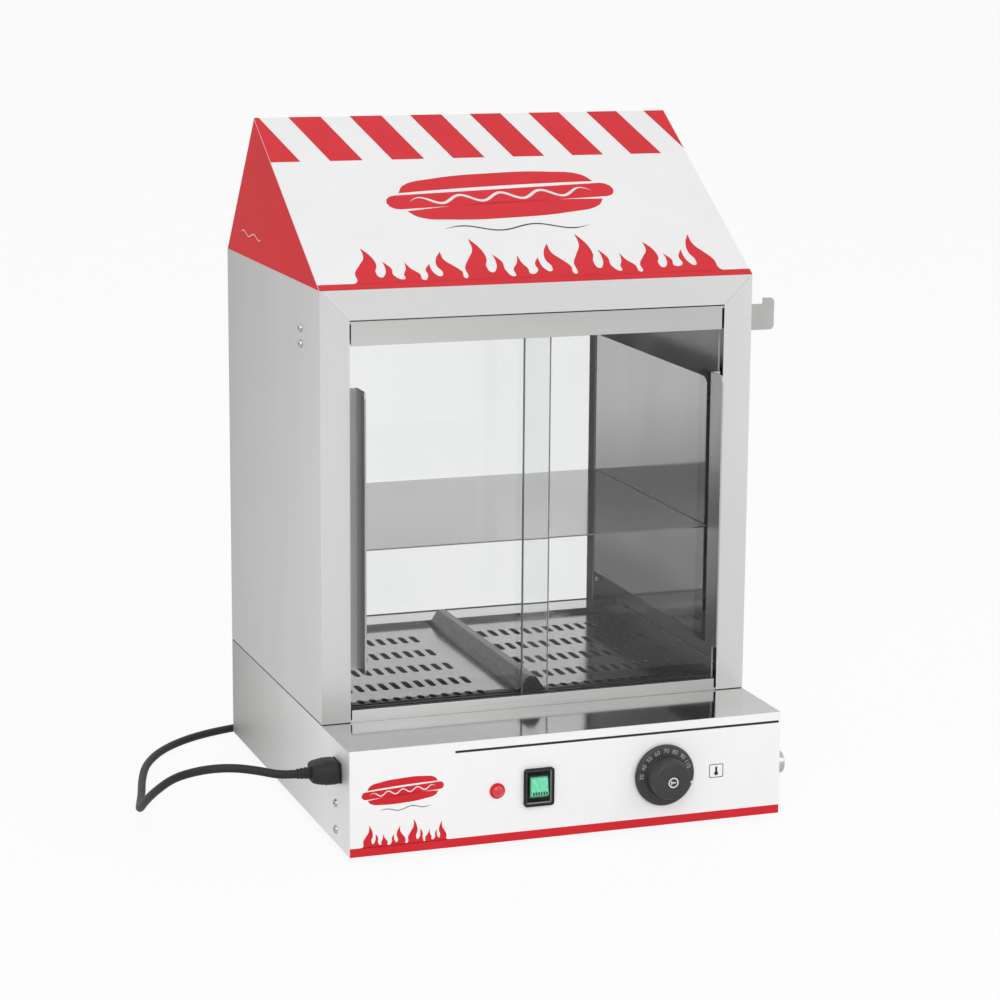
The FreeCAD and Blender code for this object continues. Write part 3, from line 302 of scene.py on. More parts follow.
def rangeNode(tree, source, start, end, low, high):
    inputs = {"Value": source, "From Min": start, "From Max": end, "To Min": low, "To Max": high}
    return addNode(tree, "ShaderNodeMapRange", inputs).outputs["Result"]


def blendColours(tree, factor, one, two):
    return addNode(tree, "ShaderNodeMix", {0: factor, 6: one, 7: two}, data_type="RGBA").outputs[2]


def objectPlace(tree):
    return addNode(tree, "ShaderNodeTexCoord", {}).outputs["Object"]


def alongAxis(tree, axis):
    return addNode(tree, "ShaderNodeSeparateXYZ", {0: objectPlace(tree)}).outputs[axis]


def startMaterial(name, values):
    material = bpy.data.materials.new(name)
    material.use_nodes = True
    tree = material.node_tree
    shader = tree.nodes["Principled BSDF"]
    feedInputs(tree, shader, values)
    return material, tree, shader


def grain(millimetres):
    # the scale that gives noise grains of this size
    return 1000 / millimetres


def stretchedNoise(tree, sizes, detail, low, high):
    # noise with grains of these sizes; it stays near its middle, so its inner half is spread over the range
    scale = [grain(size) for size in sizes]
    mapping = addNode(tree, "ShaderNodeMapping", {"Vector": objectPlace(tree), "Scale": scale})
    inputs = {"Vector": mapping.outputs[0], "Scale": 1.0, "Detail": detail}
    noise = addNode(tree, "ShaderNodeTexNoise", inputs).outputs["Fac"]
    return noise, rangeNode(tree, noise, 0.25, 0.75, low, high)


def surface(name, colour, fleck, rough, skin, patch, values, bump=(0.0, 0.0)):
    # the shared build: colour drifts over patches, while gloss and relief follow the finer skin
    material, tree, shader = startMaterial(name, values)
    fine, gloss = stretchedNoise(tree, skin, 3.0, *rough)
    share = stretchedNoise(tree, patch, 2.0, 0.0, 1.0)[1]
    ink = blendColours(tree, share, srgb(colour), srgb(fleck))
    feedInputs(tree, shader, {"Base Color": ink, "Roughness": gloss})
    strength, millimetres = bump
    if strength:
        relief = {"Height": fine, "Strength": strength, "Distance": millimetres / 1000}
        feedInputs(tree, shader, {"Normal": addNode(tree, "ShaderNodeBump", relief).outputs["Normal"]})
    return material, tree, shader, ink


def stainless(name, colour, fleck, rough, skin, patch, bump, paintedShade=None):
    # stainless sheet: fine parallel lines of its finish blur what it mirrors across them,
    # and a painted shade, where it is given, darkens the colour along an axis from a start to an end
    material, tree, shader, ink = surface(name, colour, fleck, rough, skin, patch, {"Metallic": 1.0}, bump)
    if paintedShade:
        shade, axis, start, end = paintedShade
        depth = rangeNode(tree, alongAxis(tree, axis), start, end, 0.0, 1.0)
        feedInputs(tree, shader, {"Base Color": blendColours(tree, depth, ink, srgb(shade))})
    return material


def paintedSheet(name, colour, fleck, gloss=0.3):
    # polyester powder coat on steel: even and glossy, with a faint orange peel of 2 mm waves
    values = {"IOR": 1.45, "Specular IOR Level": gloss}
    return surface(name, colour, fleck, (0.36, 0.44), (2, 2, 2), (70, 70, 70), values, (0.12, 0.04))[0]


def printedFilm(name, colour, fleck, gloss=0.3):
    # screen-printed film: even ink under a satin face with a fine pebble of 0.6 mm
    values = {"IOR": 1.45, "Specular IOR Level": gloss}
    return surface(name, colour, fleck, (0.38, 0.46), (0.6, 0.6, 0.6), (40, 40, 40), values, (0.08, 0.02))[0]


def mouldedPlastic(name, colour, fleck, rough):
    # injection-moulded thermoplastic: a spark-eroded skin of fine grit, with slightly uneven gloss
    return surface(name, colour, fleck, rough, (0.8, 0.8, 0.8), (15, 15, 15), {"IOR": 1.5}, (0.25, 0.04))[0]


def softRubber(name, colour, fleck):
    # rubber or soft vinyl: matt and slightly dusty, with a moulded skin
    values = {"IOR": 1.5, "Specular IOR Level": 0.35}
    return surface(name, colour, fleck, (0.5, 0.65), (1.1, 1.1, 1.1), (22, 22, 22), values, (0.3, 0.05))[0]


def litPlastic(name, colour, deep, glow, patch):
    # tinted polycarbonate over a small lamp: clear gloss, with patches of deeper colour
    values = {"IOR": 1.58, "Coat Weight": 0.4, "Emission Strength": glow}
    material, tree, shader, ink = surface(name, colour, deep, (0.1, 0.2), patch, patch, values)
    feedInputs(tree, shader, {"Emission Color": ink})
    return material


def floatGlass(name):
    # clear float glass: sharp reflections and the faintest trace of wiping
    values = {"IOR": 1.5, "Transmission Weight": 1.0}
    return surface(name, "FCFCFC", "F8F9F9", (0.0, 0.01), (80, 80, 200), (80, 80, 200), values)[0]


upright = (1.2, 1.2, 160)
level = (160, 1.2, 1.2)
inward = (1.2, 160, 1.2)
spun = (1.5, 1.5, 1.5)
# satin stainless of the outer walls, brushed upright, with painted shade that darkens them towards the back
wallSteel = stainless(
    "satinStainlessWall", "DCDCDC", "D4D4D3", (0.3, 0.38), upright, (90, 90, 400), (0.2, 0.02),
    ("BCBCBB", "Y", -0.12, 0.19))
# the base below them, more matt and brighter, with painted shade that darkens it from the console towards the
# back
baseSteel = stainless(
    "satinStainlessBase", "F2F2F2", "EAEAE9", (0.5, 0.58), upright, (90, 90, 400), (0.2, 0.02),
    ("ACACAB", "Y", -0.12, 0.19))
# the same sheet over the doors, brushed from side to side
headerSteel = stainless(
    "satinStainlessHeader", "DADADA", "D4D4D3", (0.32, 0.4), level, (400, 90, 90), (0.2, 0.02))
# the polished lip that the doors slide behind, with painted shade that darkens it towards the right
trackSteel = stainless(
    "polishedStainlessTrack", "F4F4F3", "ECECEB", (0.26, 0.34), level, (400, 90, 90), (0.1, 0.01),
    ("B8B8B7", "X", -0.12, 0.18))
# brighter bent strips that hold the doors
trimSteel = stainless(
    "brightStainlessTrim", "D2D2D1", "C6C6C5", (0.12, 0.2), level, (300, 60, 60), (0.1, 0.01))
# mirror-like top of the console, with a few hazy wipes
ledgeSteel = stainless(
    "mirrorStainlessLedge", "B6B6B5", "A8A8A7", (0.08, 0.14), level, (120, 60, 60), (0.05, 0.01))
# slotted trays, greyer from steam
traySteel = stainless(
    "steamedStainlessTray", "A2A2A1", "929291", (0.1, 0.18), inward, (90, 200, 90), (0.05, 0.005))
# shelf plate, brighter and nearly a mirror
shelfSteel = stainless(
    "polishedStainlessShelf", "A4A4A3", "9A9A99", (0.06, 0.1), inward, (90, 200, 90), (0.03, 0.005))
# ridge between the trays, of dull dark sheet
ridgeSteel = stainless(
    "dullStainlessRidge", "4A4A49", "424241", (0.2, 0.3), inward, (60, 160, 60), (0.05, 0.005))
# painted shade: dark colours for the walls' inner faces and the trays' front strips, which lie in shade
innerSteel = stainless(
    "paintedShadeInnerWall", "6E6E6D", "686867", (0.3, 0.34), upright, (80, 80, 300), (0.02, 0.002))
trayShadeSteel = stainless(
    "paintedShadeTrayFront", "3A3A3A", "323232", (0.3, 0.4), level, (60, 60, 60), (0.05, 0.005))
# side baffles, nearly a mirror, with painted shade that darkens them towards the bottom
baffleSteel = stainless(
    "brightStainlessBaffle", "B2B2B1", "A6A6A5", (0.06, 0.09), upright, (80, 80, 300), (0.01, 0.002),
    ("868685", "Z", 0.19, 0.16))
# painted highlight: pale, rough strips on the sides of the shelf and of the trays, for the light their edges
# catch
highlightEdge = surface(
    "paintedHighlightEdge", "F0F0EF", "E8E8E7", (0.5, 0.6), inward, (60, 60, 60), {"Metallic": 0.1})[0]
# handles folded from satin strip
handleSteel = stainless(
    "satinStainlessHandle", "BEBEBD", "ACACAB", (0.3, 0.4), upright, (40, 40, 200), (0.15, 0.02))
# hook plate of duller sheet
hookSteel = stainless(
    "dullStainlessHook", "BABAB9", "B0B0AF", (0.34, 0.42), upright, (30, 30, 90), (0.2, 0.02))
# drawn water pan with water marks
wetSteel = stainless("drawnStainlessPan", "6E6E6B", "5A5956", (0.25, 0.4), spun, (35, 35, 35), (0.1, 0.01))
# zinc-plated screws, nuts and pins
boltSteel = stainless(
    "zincPlatedSteel", "C4C4C3", "A4A4A2", (0.2, 0.34), (0.8, 0.8, 0.8), (6, 6, 6), (0.15, 0.02))
# heater sheath, brown from heat
sheathSteel = stainless(
    "heatTintedSheath", "857D74", "5C554E", (0.3, 0.45), (2, 18, 2), (14, 30, 14), (0.15, 0.03))
# turned drain cap
capSteel = stainless(
    "turnedStainlessCap", "C6C6C5", "B2B2B1", (0.18, 0.28), (120, 0.8, 0.8), (25, 25, 25), (0.15, 0.02))
whitePaint = paintedSheet("whitePowderCoat", "ECECEC", "E8E8E8")
redPaint = paintedSheet("redPowderCoat", "E4242D", "DC2029", 0.05)
redInk = printedFilm("redPrintInk", "D62C36", "CE2730", 0.15)
greyInk = printedFilm("greyPrintInk", "B4B4B2", "A0A09E")
blackInk = printedFilm("blackPrintInk", "242425", "2C2C2D")
whiteInk = printedFilm("whitePrintInk", "E6E6E4", "DADAD8")
whiteFilm = printedFilm("whiteFrontFilm", "F6F6F6", "F3F3F3")
knobPlastic = mouldedPlastic("blackPhenolicKnob", "2A2A2A", "323232", (0.36, 0.5))
switchPlastic = mouldedPlastic("blackNylonSwitch", "232524", "2D2F2E", (0.34, 0.46))
# painted highlight: grey for the lit slopes of the black bezel
litRimPlastic = mouldedPlastic("paintedHighlightRim", "828A88", "6E7573", (0.2, 0.3))
socketPlastic = mouldedPlastic("blackNylonSocket", "1F2020", "282929", (0.4, 0.5))
# dark nylon glide in the lower track; its dark colour also paints the shade there
glideShadePlastic = mouldedPlastic("darkNylonGlideAndShade", "2E2F2F", "383939", (0.4, 0.5))
terminalPlastic = mouldedPlastic("paleTerminalNylon", "D9D6C9", "C9C6B8", (0.4, 0.5))
cordPlastic = softRubber("blackCordPlastic", "1B1C1D", "272829")
footRubber = softRubber("blackFootRubber", "232323", "383837")
greenPlastic = litPlastic("greenRockerPlastic", "6ECFA4", "48B48A", 0.3, (2.2, 2.2, 5))
redPlastic = litPlastic("redLampPlastic", "DC1E2A", "B4121C", 0.18, (2, 2, 2))
clearGlass = floatGlass("clearFloatGlass")
glassEdge = surface(
    "groundGlassEdge", "7E8A88", "5A6463", (0.25, 0.45), (1, 1, 16), (8, 8, 60), {"IOR": 1.5}
)[0]
# the pane's right edges, ground, with a pale colour that paints the light they catch inside the glass
litGlassEdge = surface(
    "paintedHighlightGlassEdge", "F2F5F4", "E6ECEA", (0.4, 0.6), (1, 1, 16), (8, 8, 60), {"IOR": 1.5}
)[0]
# the narrow shadow in a joint between two sheets
jointShade = surface(
    "shadedSheetJoint", "5C5C5C", "4C4C4C", (0.6, 0.7), (1, 1, 1), (30, 30, 30), {"Specular IOR Level": 0.1}
)[0]
print("materials made")

# The free cord, its plug and its tie

cordFacts = {
    "diameter": 0.007,
    "length": 1.48,
    "exit": (-0.224, -0.155, 0.07),
    "coilCentre": (-0.03, 0.216),
    "coilRadius": 0.046,
    "overreach": 1.035,
    "leave": (0.014, 0.033),
    "layerPitch": 0.0076,
    "tableLevel": 0.005,
    "plugStart": (0.023, 0.2236, 0.0188),
    "partsPerHalf": 6,
    "order": 3,
    "lengthSteps": 8,
    "roundSteps": 5,
}
routePoints = [
    (-0.224, -0.155, 0.07), (-0.237, -0.155, 0.07), (-0.256, -0.154, 0.0755), (-0.274, -0.1505, 0.0785),
    (-0.291, -0.145, 0.078), (-0.307, -0.137, 0.074), (-0.32, -0.124, 0.066), (-0.329, -0.104, 0.051),
    (-0.332, -0.076, 0.034), (-0.33, -0.044, 0.017), (-0.322, -0.006, 0.0066), (-0.311, 0.036, 0.0038),
    (-0.301, 0.08, 0.0038), (-0.287, 0.124, 0.0038), (-0.262, 0.164, 0.0038), (-0.226, 0.194, 0.0038),
    (-0.182, 0.211, 0.0038), (-0.134, 0.217, 0.0042), (-0.084, 0.216, 0.005), (-0.037, 0.216, 0.005),
]


def coilPoints():
    # three turns spiral in on the table, climb and spiral out on top, one circle's half after another
    facts = cordFacts
    step = facts["layerPitch"] / 2
    side, y = facts["coilCentre"]
    low = facts["tableLevel"]
    parts = facts["partsPerHalf"]
    points = []
    for number, inward in enumerate((0, 1, 2, 3, 2, 1)):
        radius = facts["coilRadius"] - inward * step
        way = 1 if number % 2 == 0 else -1
        reach = radius * facts["overreach"]
        for part in range(parts):
            share = (part + 0.5) / parts
            angle = math.radians(180 / parts * (part + 0.5) - 90 * way)
            climb = facts["layerPitch"] * (0 if number < 3 else share if number == 3 else 1)
            points.append((
                side + reach * math.cos(angle), y + way * radius + reach * math.sin(angle), low + climb))
        y += way * 2 * radius
    plug = facts["plugStart"]
    points.append((side + facts["leave"][0], plug[1], low + facts["layerPitch"]))
    points.append((side + facts["leave"][1], plug[1], plug[2]))
    points.append(plug)
    return points


def makeCord():
    line = bpy.data.curves.new("mainsCord", "CURVE")
    line.dimensions = "3D"
    points = routePoints + coilPoints()
    spline = line.splines.new("NURBS")
    spline.points.add(len(points) - 1)
    for control, point in zip(spline.points, points):
        control.co = (*point, 1)
    spline.order_u = cordFacts["order"]
    spline.use_endpoint_u = True
    line.bevel_depth = cordFacts["diameter"] / 2
    line.bevel_resolution = cordFacts["roundSteps"]
    line.resolution_u = cordFacts["lengthSteps"]
    line.use_fill_caps = True
    cord = newObject("mainsCord", line)
    dress(cord, cordPlastic, "cabinet")
    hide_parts("cord_run", "cord_coil")
    return cord


plugFacts = {
    "sides": 64,
    "edge": 0.0004,
    "pinEdge": 0.001,
    "pinSteps": 32,
    "pinRadius": 0.0024,
    "pinLength": 0.019,
    "pinSides": (-0.0095, 0.0095),
    "outline": [
        (0.0036, 0.0), (0.005, 0.0), (0.0052, 0.003), (0.0045, 0.0036), (0.0045, 0.0056), (0.0057, 0.0062),
        (0.006, 0.009), (0.005, 0.0096), (0.005, 0.0116), (0.0063, 0.0122), (0.0066, 0.015), (0.0056, 0.0156),
        (0.0056, 0.0176), (0.0068, 0.0182), (0.007, 0.022), (0.0088, 0.026), (0.0112, 0.033), (0.0136, 0.04),
        (0.0154, 0.045), (0.0168, 0.046), (0.0182, 0.0472), (0.0185, 0.049), (0.0185, 0.0655),
        (0.018, 0.0672), (0.0168, 0.068), (0.0, 0.068),
    ],
}


def makePlug():
    # a moulded round plug: ribbed relief, waisted grip, flanged face, and two plated pins
    facts = plugFacts
    body = spunShape("plugBody", facts["outline"], placed(cordFacts["plugStart"], (90, "Y")), facts["sides"])
    addBevel(body, facts["edge"], 2, 40)
    smooth(body, 40)
    dress(body, cordPlastic, "cabinet")
    pins = []
    x, y, z = cordFacts["plugStart"]
    middle = x + facts["outline"][-1][1] + facts["pinLength"] / 2
    for side in facts["pinSides"]:
        pin = startRod("plugPin", facts["pinRadius"], facts["pinLength"], (middle, y + side, z),
                       (0, math.radians(90), 0), facts["pinSteps"])
        addBevel(pin, facts["pinEdge"], 4, 30)
        pins.append(pin)
    pinPair = joinPieces("plugPins", pins)
    smooth(pinPair, 50)
    dress(pinPair, boltSteel, "cabinet")
    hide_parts("mains_plug")
    return [body, pinPair]


connectorFacts = {
    "face": -0.191,
    "line": -0.155,
    "level": 0.07,
    "halfWidth": 0.0135,
    "halfHeight": 0.00925,
    "corner": 0.006,
    "nose": 0.0022,
    "roundSteps": 4,
    "edge": 0.0008,
    "ribEdge": 0.0002,
    "ribs": 4,
    "reliefSides": 40,
    "length": 0.022,
    "cuts": (0.3, 0.62, 0.86),
    "taperStart": 0.3,
    "taperReach": 0.78,
    "endWidth": 0.4,
    "endHeight": 0.62,
    "ribStart": 0.0035,
    "ribPitch": 0.0024,
    "ribHalf": (0.0006, 0.0085, 0.0003),
    "reliefLength": 0.011,
    "relief": [
        (0.0037, 0.0), (0.0042, 0.0), (0.0043, 0.0012), (0.0039, 0.0016), (0.0039, 0.0026), (0.0045, 0.003),
        (0.0046, 0.0046), (0.0041, 0.005), (0.0041, 0.006), (0.0048, 0.0064), (0.0049, 0.008),
        (0.0044, 0.0084), (0.0044, 0.0092), (0.005, 0.0096), (0.005, 0.012), (0.0, 0.012),
    ],
}


def alongX(one, two):
    return abs(one.y - two.y) + abs(one.z - two.z) < nearby < abs(one.x - two.x)


def makeConnector():
    # the moulded connector: a rounded grip that narrows to a ribbed relief
    facts = connectorFacts
    x, y, z = facts["face"], facts["line"], facts["level"]
    length, wide, high = facts["length"], facts["halfWidth"], facts["halfHeight"]
    grip = startCube("connectorGrip", (x - length, y - wide, z - high), (x, y + wide, z + high))
    bevelEdges(grip, alongX, facts["corner"], facts["roundSteps"])
    bevelEdges(grip, lambda one, two: min(one.x, two.x) > x - nearby, facts["nose"], facts["roundSteps"])
    for share in facts["cuts"]:
        cutAcross(grip, (x - share * length, y, z), (1, 0, 0))
    for corner in grip.data.vertices:
        # the far end narrows along a quarter of an ellipse
        share = (x - corner.co.x) / length
        if share > facts["taperStart"]:
            narrowing = math.sqrt(max(0.0, 1 - ((share - facts["taperStart"]) / facts["taperReach"]) ** 2))
            corner.co.y = y + (corner.co.y - y) * (facts["endWidth"] + (1 - facts["endWidth"]) * narrowing)
            corner.co.z = z + (corner.co.z - z) * (facts["endHeight"] + (1 - facts["endHeight"]) * narrowing)
    addBevel(grip, facts["edge"], 3, 50)
    parts = [grip]
    thick, long, rise = facts["ribHalf"]
    for number in range(facts["ribs"]):
        # grip ribs across the broad faces
        place = x - facts["ribStart"] - number * facts["ribPitch"]
        for level in (z - high, z + high):
            low = (place - thick, y - long, level - rise)
            rib = startCube("gripRib", low, (place + thick, y + long, level + rise))
            addBevel(rib, facts["ribEdge"], 2)
            parts.append(rib)
    tail = placed((x - length - facts["reliefLength"], y, z), (90, "Y"))
    parts.append(spunShape("connectorRelief", facts["relief"], tail, facts["reliefSides"]))
    piece = joinPieces("powerConnector", parts)
    smooth(piece, 40)
    dress(piece, cordPlastic, "cabinet")
    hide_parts("power_connector")


cord = makeCord()
plugPieces = makePlug()
makeConnector()
tie = mergedCopy("cordTie", "coil_tie")
addBevel(tie, plugFacts["edge"])
dress(tie, cordPlastic, "cabinet")
print("cord, plug and connector made")

# Pieces that keep their CAD solid: merged copies with a small bend or mould radius on their edges

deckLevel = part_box("base_housing")[1][2]
copyFacts = {
    "seam": 0.0006,
    "lipEdge": 0.0008,
    "lip": 0.0015,
    "trayBend": 0.0125,
    "sideStrip": 0.0018,
    "flangeFront": -0.1895,
    "flangeShape": 1.45,
    "topNormal": 0.9,
    "glideStart": 0.0002,
    "glideWall": 0.0005,
}
# bevel widths in millimetres
edgeWidths = {
    "outer_steel": {
        baseSteel: {"base_housing": 0.4},
        wallSteel: {"left_side_panel": 0.4, "right_side_panel": 0.4, "rear_frame": 0.4,
                    "bottom_cover": 0.2},
        headerSteel: {"front_header": 0.3},
        whiteFilm: {"control_panel": 0.2},
    },
    "bright_steel": {
        ledgeSteel: {"top_ledge": 0.2},
        trackSteel: {"lower_track": 0.3},
        trimSteel: {"upper_track": 0.3, "rear_rail": 0.3, "ceiling_panel": 0.2, "shelf_rests": 0.2,
                    "left_baffle_spacers": 0.3, "right_baffle_spacers": 0.3},
        shelfSteel: {"shelf": 0.3},
        ridgeSteel: {"tray_ridge": 0.3},
        traySteel: {"left_tray": 0.1, "right_tray": 0.1},
        baffleSteel: {"left_steam_baffle": 0.3, "right_steam_baffle": 0.3},
        handleSteel: {"left_door_handle": 0.3, "right_door_handle": 0.3},
        hookSteel: {"tong_hook": 0.3},
        wetSteel: {"water_pan": 0.3, "drain_pipe": 0.2},
        capSteel: {"drain_cap": 0.8},
    },
    "roof_paint": {whitePaint: {"roof_sheet": 0.4}},
    "gable_paint": {redPaint: {"left_gable": 0.2, "right_gable": 0.2}},
    "fastener_steel": {boltSteel: {"heater_nuts": 0.3, "bulb_gland": 0.3, "thermostat_shaft": 0.3,
                                   "foot_screws": 0.2}},
    "heater_steel": {sheathSteel: {"heating_element": 0.2, "low_water_probe": 0.3, "thermostat_bulb": 0.1}},
    "switch_plastic": {switchPlastic: {"thermostat_body": 0.5}, socketPlastic: {"power_inlet": 0.6}},
    "lamp_case_plastic": {terminalPlastic: {"lamp_body": 0.3, "terminal_block": 0.5}},
    "cord_rubber": {cordPlastic: {"console_wires": 0}},
    "foot_rubber": {footRubber: {"foot_front_left": 0.6, "foot_front_right": 0.6, "foot_back_left": 0.6,
                                 "foot_back_right": 0.6}},
}


def camelCase(nodeName):
    first, *others = nodeName.split("_")
    return first + "".join(word.capitalize() for word in others)


def atSeam(one, two):
    return max(abs(one.z - deckLevel), abs(two.z - deckLevel)) < nearby


def flangeCorner(one, two):
    # the four short corner edges of the inlet's flange
    outside = max(abs(one.y - connectorFacts["line"]),
                  abs(one.z - connectorFacts["level"]) * copyFacts["flangeShape"])
    proud = max(one.x, two.x) < copyFacts["flangeFront"]
    return alongX(one, two) and proud and outside > connectorFacts["halfWidth"] - 3 * nearby


def atLipTop(one, two):
    # the front top edge of the lower track's lip
    low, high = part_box("lower_track")
    return all(abs(co.y - low[1]) < nearby and abs(co.z - high[2]) < nearby for co in (one, two))


def markCopy(nodeName, copy):
    # marks the edges and faces of a copy that look unlike the rest, and gives the materials that they take
    facts = copyFacts
    seamed = [jointShade] if nodeName in ("base_housing", "left_side_panel", "right_side_panel") else []
    if seamed:
        bevelEdges(copy, atSeam, facts["seam"], 1, 1)
    if nodeName == "power_inlet":
        bevelEdges(copy, flangeCorner, connectorFacts["corner"], connectorFacts["roundSteps"])
    if nodeName == "lower_track":
        # painted shade: the lip's top edge and the faces behind the lip take the dark glide colour
        bevelEdges(copy, atLipTop, facts["lipEdge"], 1, 1)
        return [glideShadePlastic]
    if nodeName == "shelf":
        # painted highlight: pale strips along the shelf's sides
        markSides(copy, 1, facts["sideStrip"])
        return [highlightEdge]
    if nodeName.endswith("_tray"):
        # painted shade on the tray's dark front strip, and painted highlight on its pale side strips
        paintTrayShade(copy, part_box(nodeName)[0][1] + facts["trayBend"])
        markSides(copy, 2, facts["sideStrip"])
        return [trayShadeSteel, highlightEdge]
    if nodeName.endswith("_side_panel"):
        return [jointShade, innerSteel]
    return seamed


def dressCopies():
    # the walls stand on the base in a joint that shows as a dark line
    for slotName, materials in edgeWidths.items():
        for material, widths in materials.items():
            for nodeName, width in widths.items():
                copy = mergedCopy(camelCase(nodeName), nodeName)
                others = markCopy(nodeName, copy)
                if width:
                    addBevel(copy, width / 1000, 2, 40)
                smooth(copy, 30, True)
                if nodeName.endswith("_side_panel"):
                    markInside(copy)
                if nodeName == "lower_track":
                    glideFaces(copy)
                dress(copy, material, bodyOf[nodeName], others)


def markInside(panel):
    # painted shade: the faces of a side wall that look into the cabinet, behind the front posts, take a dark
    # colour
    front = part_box("lower_track")[0][1]
    for face in panel.data.polygons:
        if face.center.x * face.normal.x < 0 and face.center.y > front and face.center.z > deckLevel:
            face.material_index = 2


def paintTrayShade(tray, end):
    # painted shade: the tray's front strip takes a dark colour
    cutAcross(tray, (0, end, 0), (0, 1, 0))
    addSlots(tray, 1)
    for face in tray.data.polygons:
        face.material_index = int(face.center.y < end)


def markSides(plate, index, width):
    # painted highlight: narrow strips on top along the sides that face a wall take a pale colour
    end = max(abs(corner.co.x) for corner in plate.data.vertices) - width
    addSlots(plate, index)
    for side in (-end, end):
        cutAcross(plate, (side, 0, 0), (1, 0, 0))
    for face in plate.data.polygons:
        if abs(face.center.x) > end and face.normal.z > copyFacts["topNormal"]:
            face.material_index = index


def glideFaces(track):
    # behind its front lip the track carries a dark nylon glide for the two panes; its dark colour also paints
    # the shade in the track
    facts = copyFacts
    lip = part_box("lower_track")[0][1] + facts["lip"]
    for face in track.data.polygons:
        wall = face.normal.y > facts["topNormal"] and face.center.y > lip - facts["glideWall"]
        if face.center.y > lip - facts["glideStart"] or wall:
            face.material_index = 1


dressCopies()
print("sheet metal, fittings and feet dressed")

# Glass panes: clear faces, ground edges

paneFacts = {
    "edge": 0.0005,
    "broadNormal": 0.99,
    "sideNormal": 0.5,
}


def makePane(name, nodeName):
    pane = mergedCopy(name, nodeName)
    addBevel(pane, paneFacts["edge"], 1)
    # the right edges take the pale colour of painted highlight
    for face in pane.data.polygons:
        broad = abs(face.normal.y) > paneFacts["broadNormal"]
        face.material_index = 0 if broad else 2 if face.normal.x > paneFacts["sideNormal"] else 1
    dress(pane, clearGlass, bodyOf[nodeName], [glassEdge, litGlassEdge])


makePane("leftPane", "left_door_glass")
makePane("rightPane", "right_door_glass")
makePane("rearPane", "rear_glass")
print("panes made")

# Prints on the roof and the console: flat outlines laid a hair above the paint

roofFacts = {
    "ridge": (-0.19, 0.092, 0.5805),
    "slope": 0.23676,
    "run": 0.202,
    "drop": 0.1235,
    "width": 0.38,
    "lift": 0.00006,
    "thickness": 0.00002,
    "curveSteps": 8,
    "stripeNumbers": (-1, 7),
    "stripeStart": 0.0305,
    "stripePitch": 0.055,
    "stripeWidth": 0.0288,
    "stripeLean": 0.0217,
    "stripeLength": 0.064,
    "border": 0.0075,
    "flameSpan": (0.03, 0.356),
    "flameOverlap": 0.0005,
}
run, drop, slope = roofFacts["run"], roofFacts["drop"], roofFacts["slope"]
roofPlace = Matrix((
    (1, 0, 0, roofFacts["ridge"][0]),
    (0, run / slope, -drop / slope, roofFacts["ridge"][1]),
    (0, drop / slope, run / slope, roofFacts["ridge"][2]),
    (0, 0, 0, 1),
))
panelPlace = Matrix(((1, 0, 0, 0), (0, 0, -1, -0.19), (0, 1, 0, 0), (0, 0, 0, 1)))
gablePlace = Matrix(((0, 0, -1, -0.19), (-1, 0, 0, 0), (0, 1, 0, 0), (0, 0, 0, 1)))
# each ground is a place, the lift above its paint, the body that it moves with and its slot
roofGround = (roofPlace, roofFacts["lift"], "cabinet", "roof_paint")
panelRed = (panelPlace, roofFacts["lift"], "cabinet", "gable_paint")
panelBlack = (panelPlace, roofFacts["lift"], "cabinet", "knob_plastic")
gableGround = (gablePlace, roofFacts["lift"], "cabinet", "gable_paint")


def flatPrint(name, outlines, ground, material, sharp=True, rise=0.0):
    # closed outlines as one flat filled curve, made a mesh and laid on the surface of a body
    place, lift, body, slotName = ground
    line = bpy.data.curves.new(name, "CURVE")
    line.dimensions = "2D"
    line.fill_mode = "BOTH"
    line.extrude = roofFacts["thickness"]
    line.resolution_u = roofFacts["curveSteps"]
    for outline in outlines:
        spline = line.splines.new("BEZIER")
        spline.bezier_points.add(len(outline) - 1)
        for knot, point in zip(spline.bezier_points, outline):
            knot.co = (point[0], point[1], 0)
            kind = "VECTOR" if sharp or (len(point) > 2 and point[2]) else "AUTO"
            knot.handle_left_type = kind
            knot.handle_right_type = kind
        spline.use_cyclic_u = True
    selectOnly(newObject(name, line))
    bpy.ops.object.convert(target="MESH")
    piece = bpy.context.object
    piece.matrix_world = place @ Matrix.Translation((0, 0, lift + rise))
    applyPlace(piece)
    dress(piece, material, body)


def onCircle(x, y, radius, angle):
    return x + radius * math.cos(angle), y + radius * math.sin(angle)


def boxOutline(left, right, low, high):
    return [(left, low), (right, low), (right, high), (left, high)]


flameShares = {
    "large": [(-0.5, 0.06), (-0.47, 0.3), (-0.3, 0.52), (-0.14, 0.72), (-0.12, 1.0, True), (0.06, 0.74),
              (0.1, 0.5), (0.02, 0.3), (0.1, 0.16), (0.22, 0.24), (0.28, 0.42), (0.27, 0.6, True),
              (0.42, 0.4), (0.42, 0.2)],
    "small": [(-0.5, 0.08), (-0.4, 0.4), (-0.1, 0.66), (0.1, 1.0, True), (0.16, 0.66), (0.34, 0.4),
              (0.4, 0.16)],
}


def flameRow(start, end, base, tongues):
    # tongues rise from the base line: each has its kind, middle, width, height and side that it leans to
    points = [(start, base, True)]
    for kind, middle, width, height, way in tongues:
        shares = flameShares[kind] if way > 0 else flameShares[kind][::-1]
        points += [(middle + way * x * width, base + y * height, *kinks) for x, y, *kinks in shares]
    points.append((end, base, True))
    return points


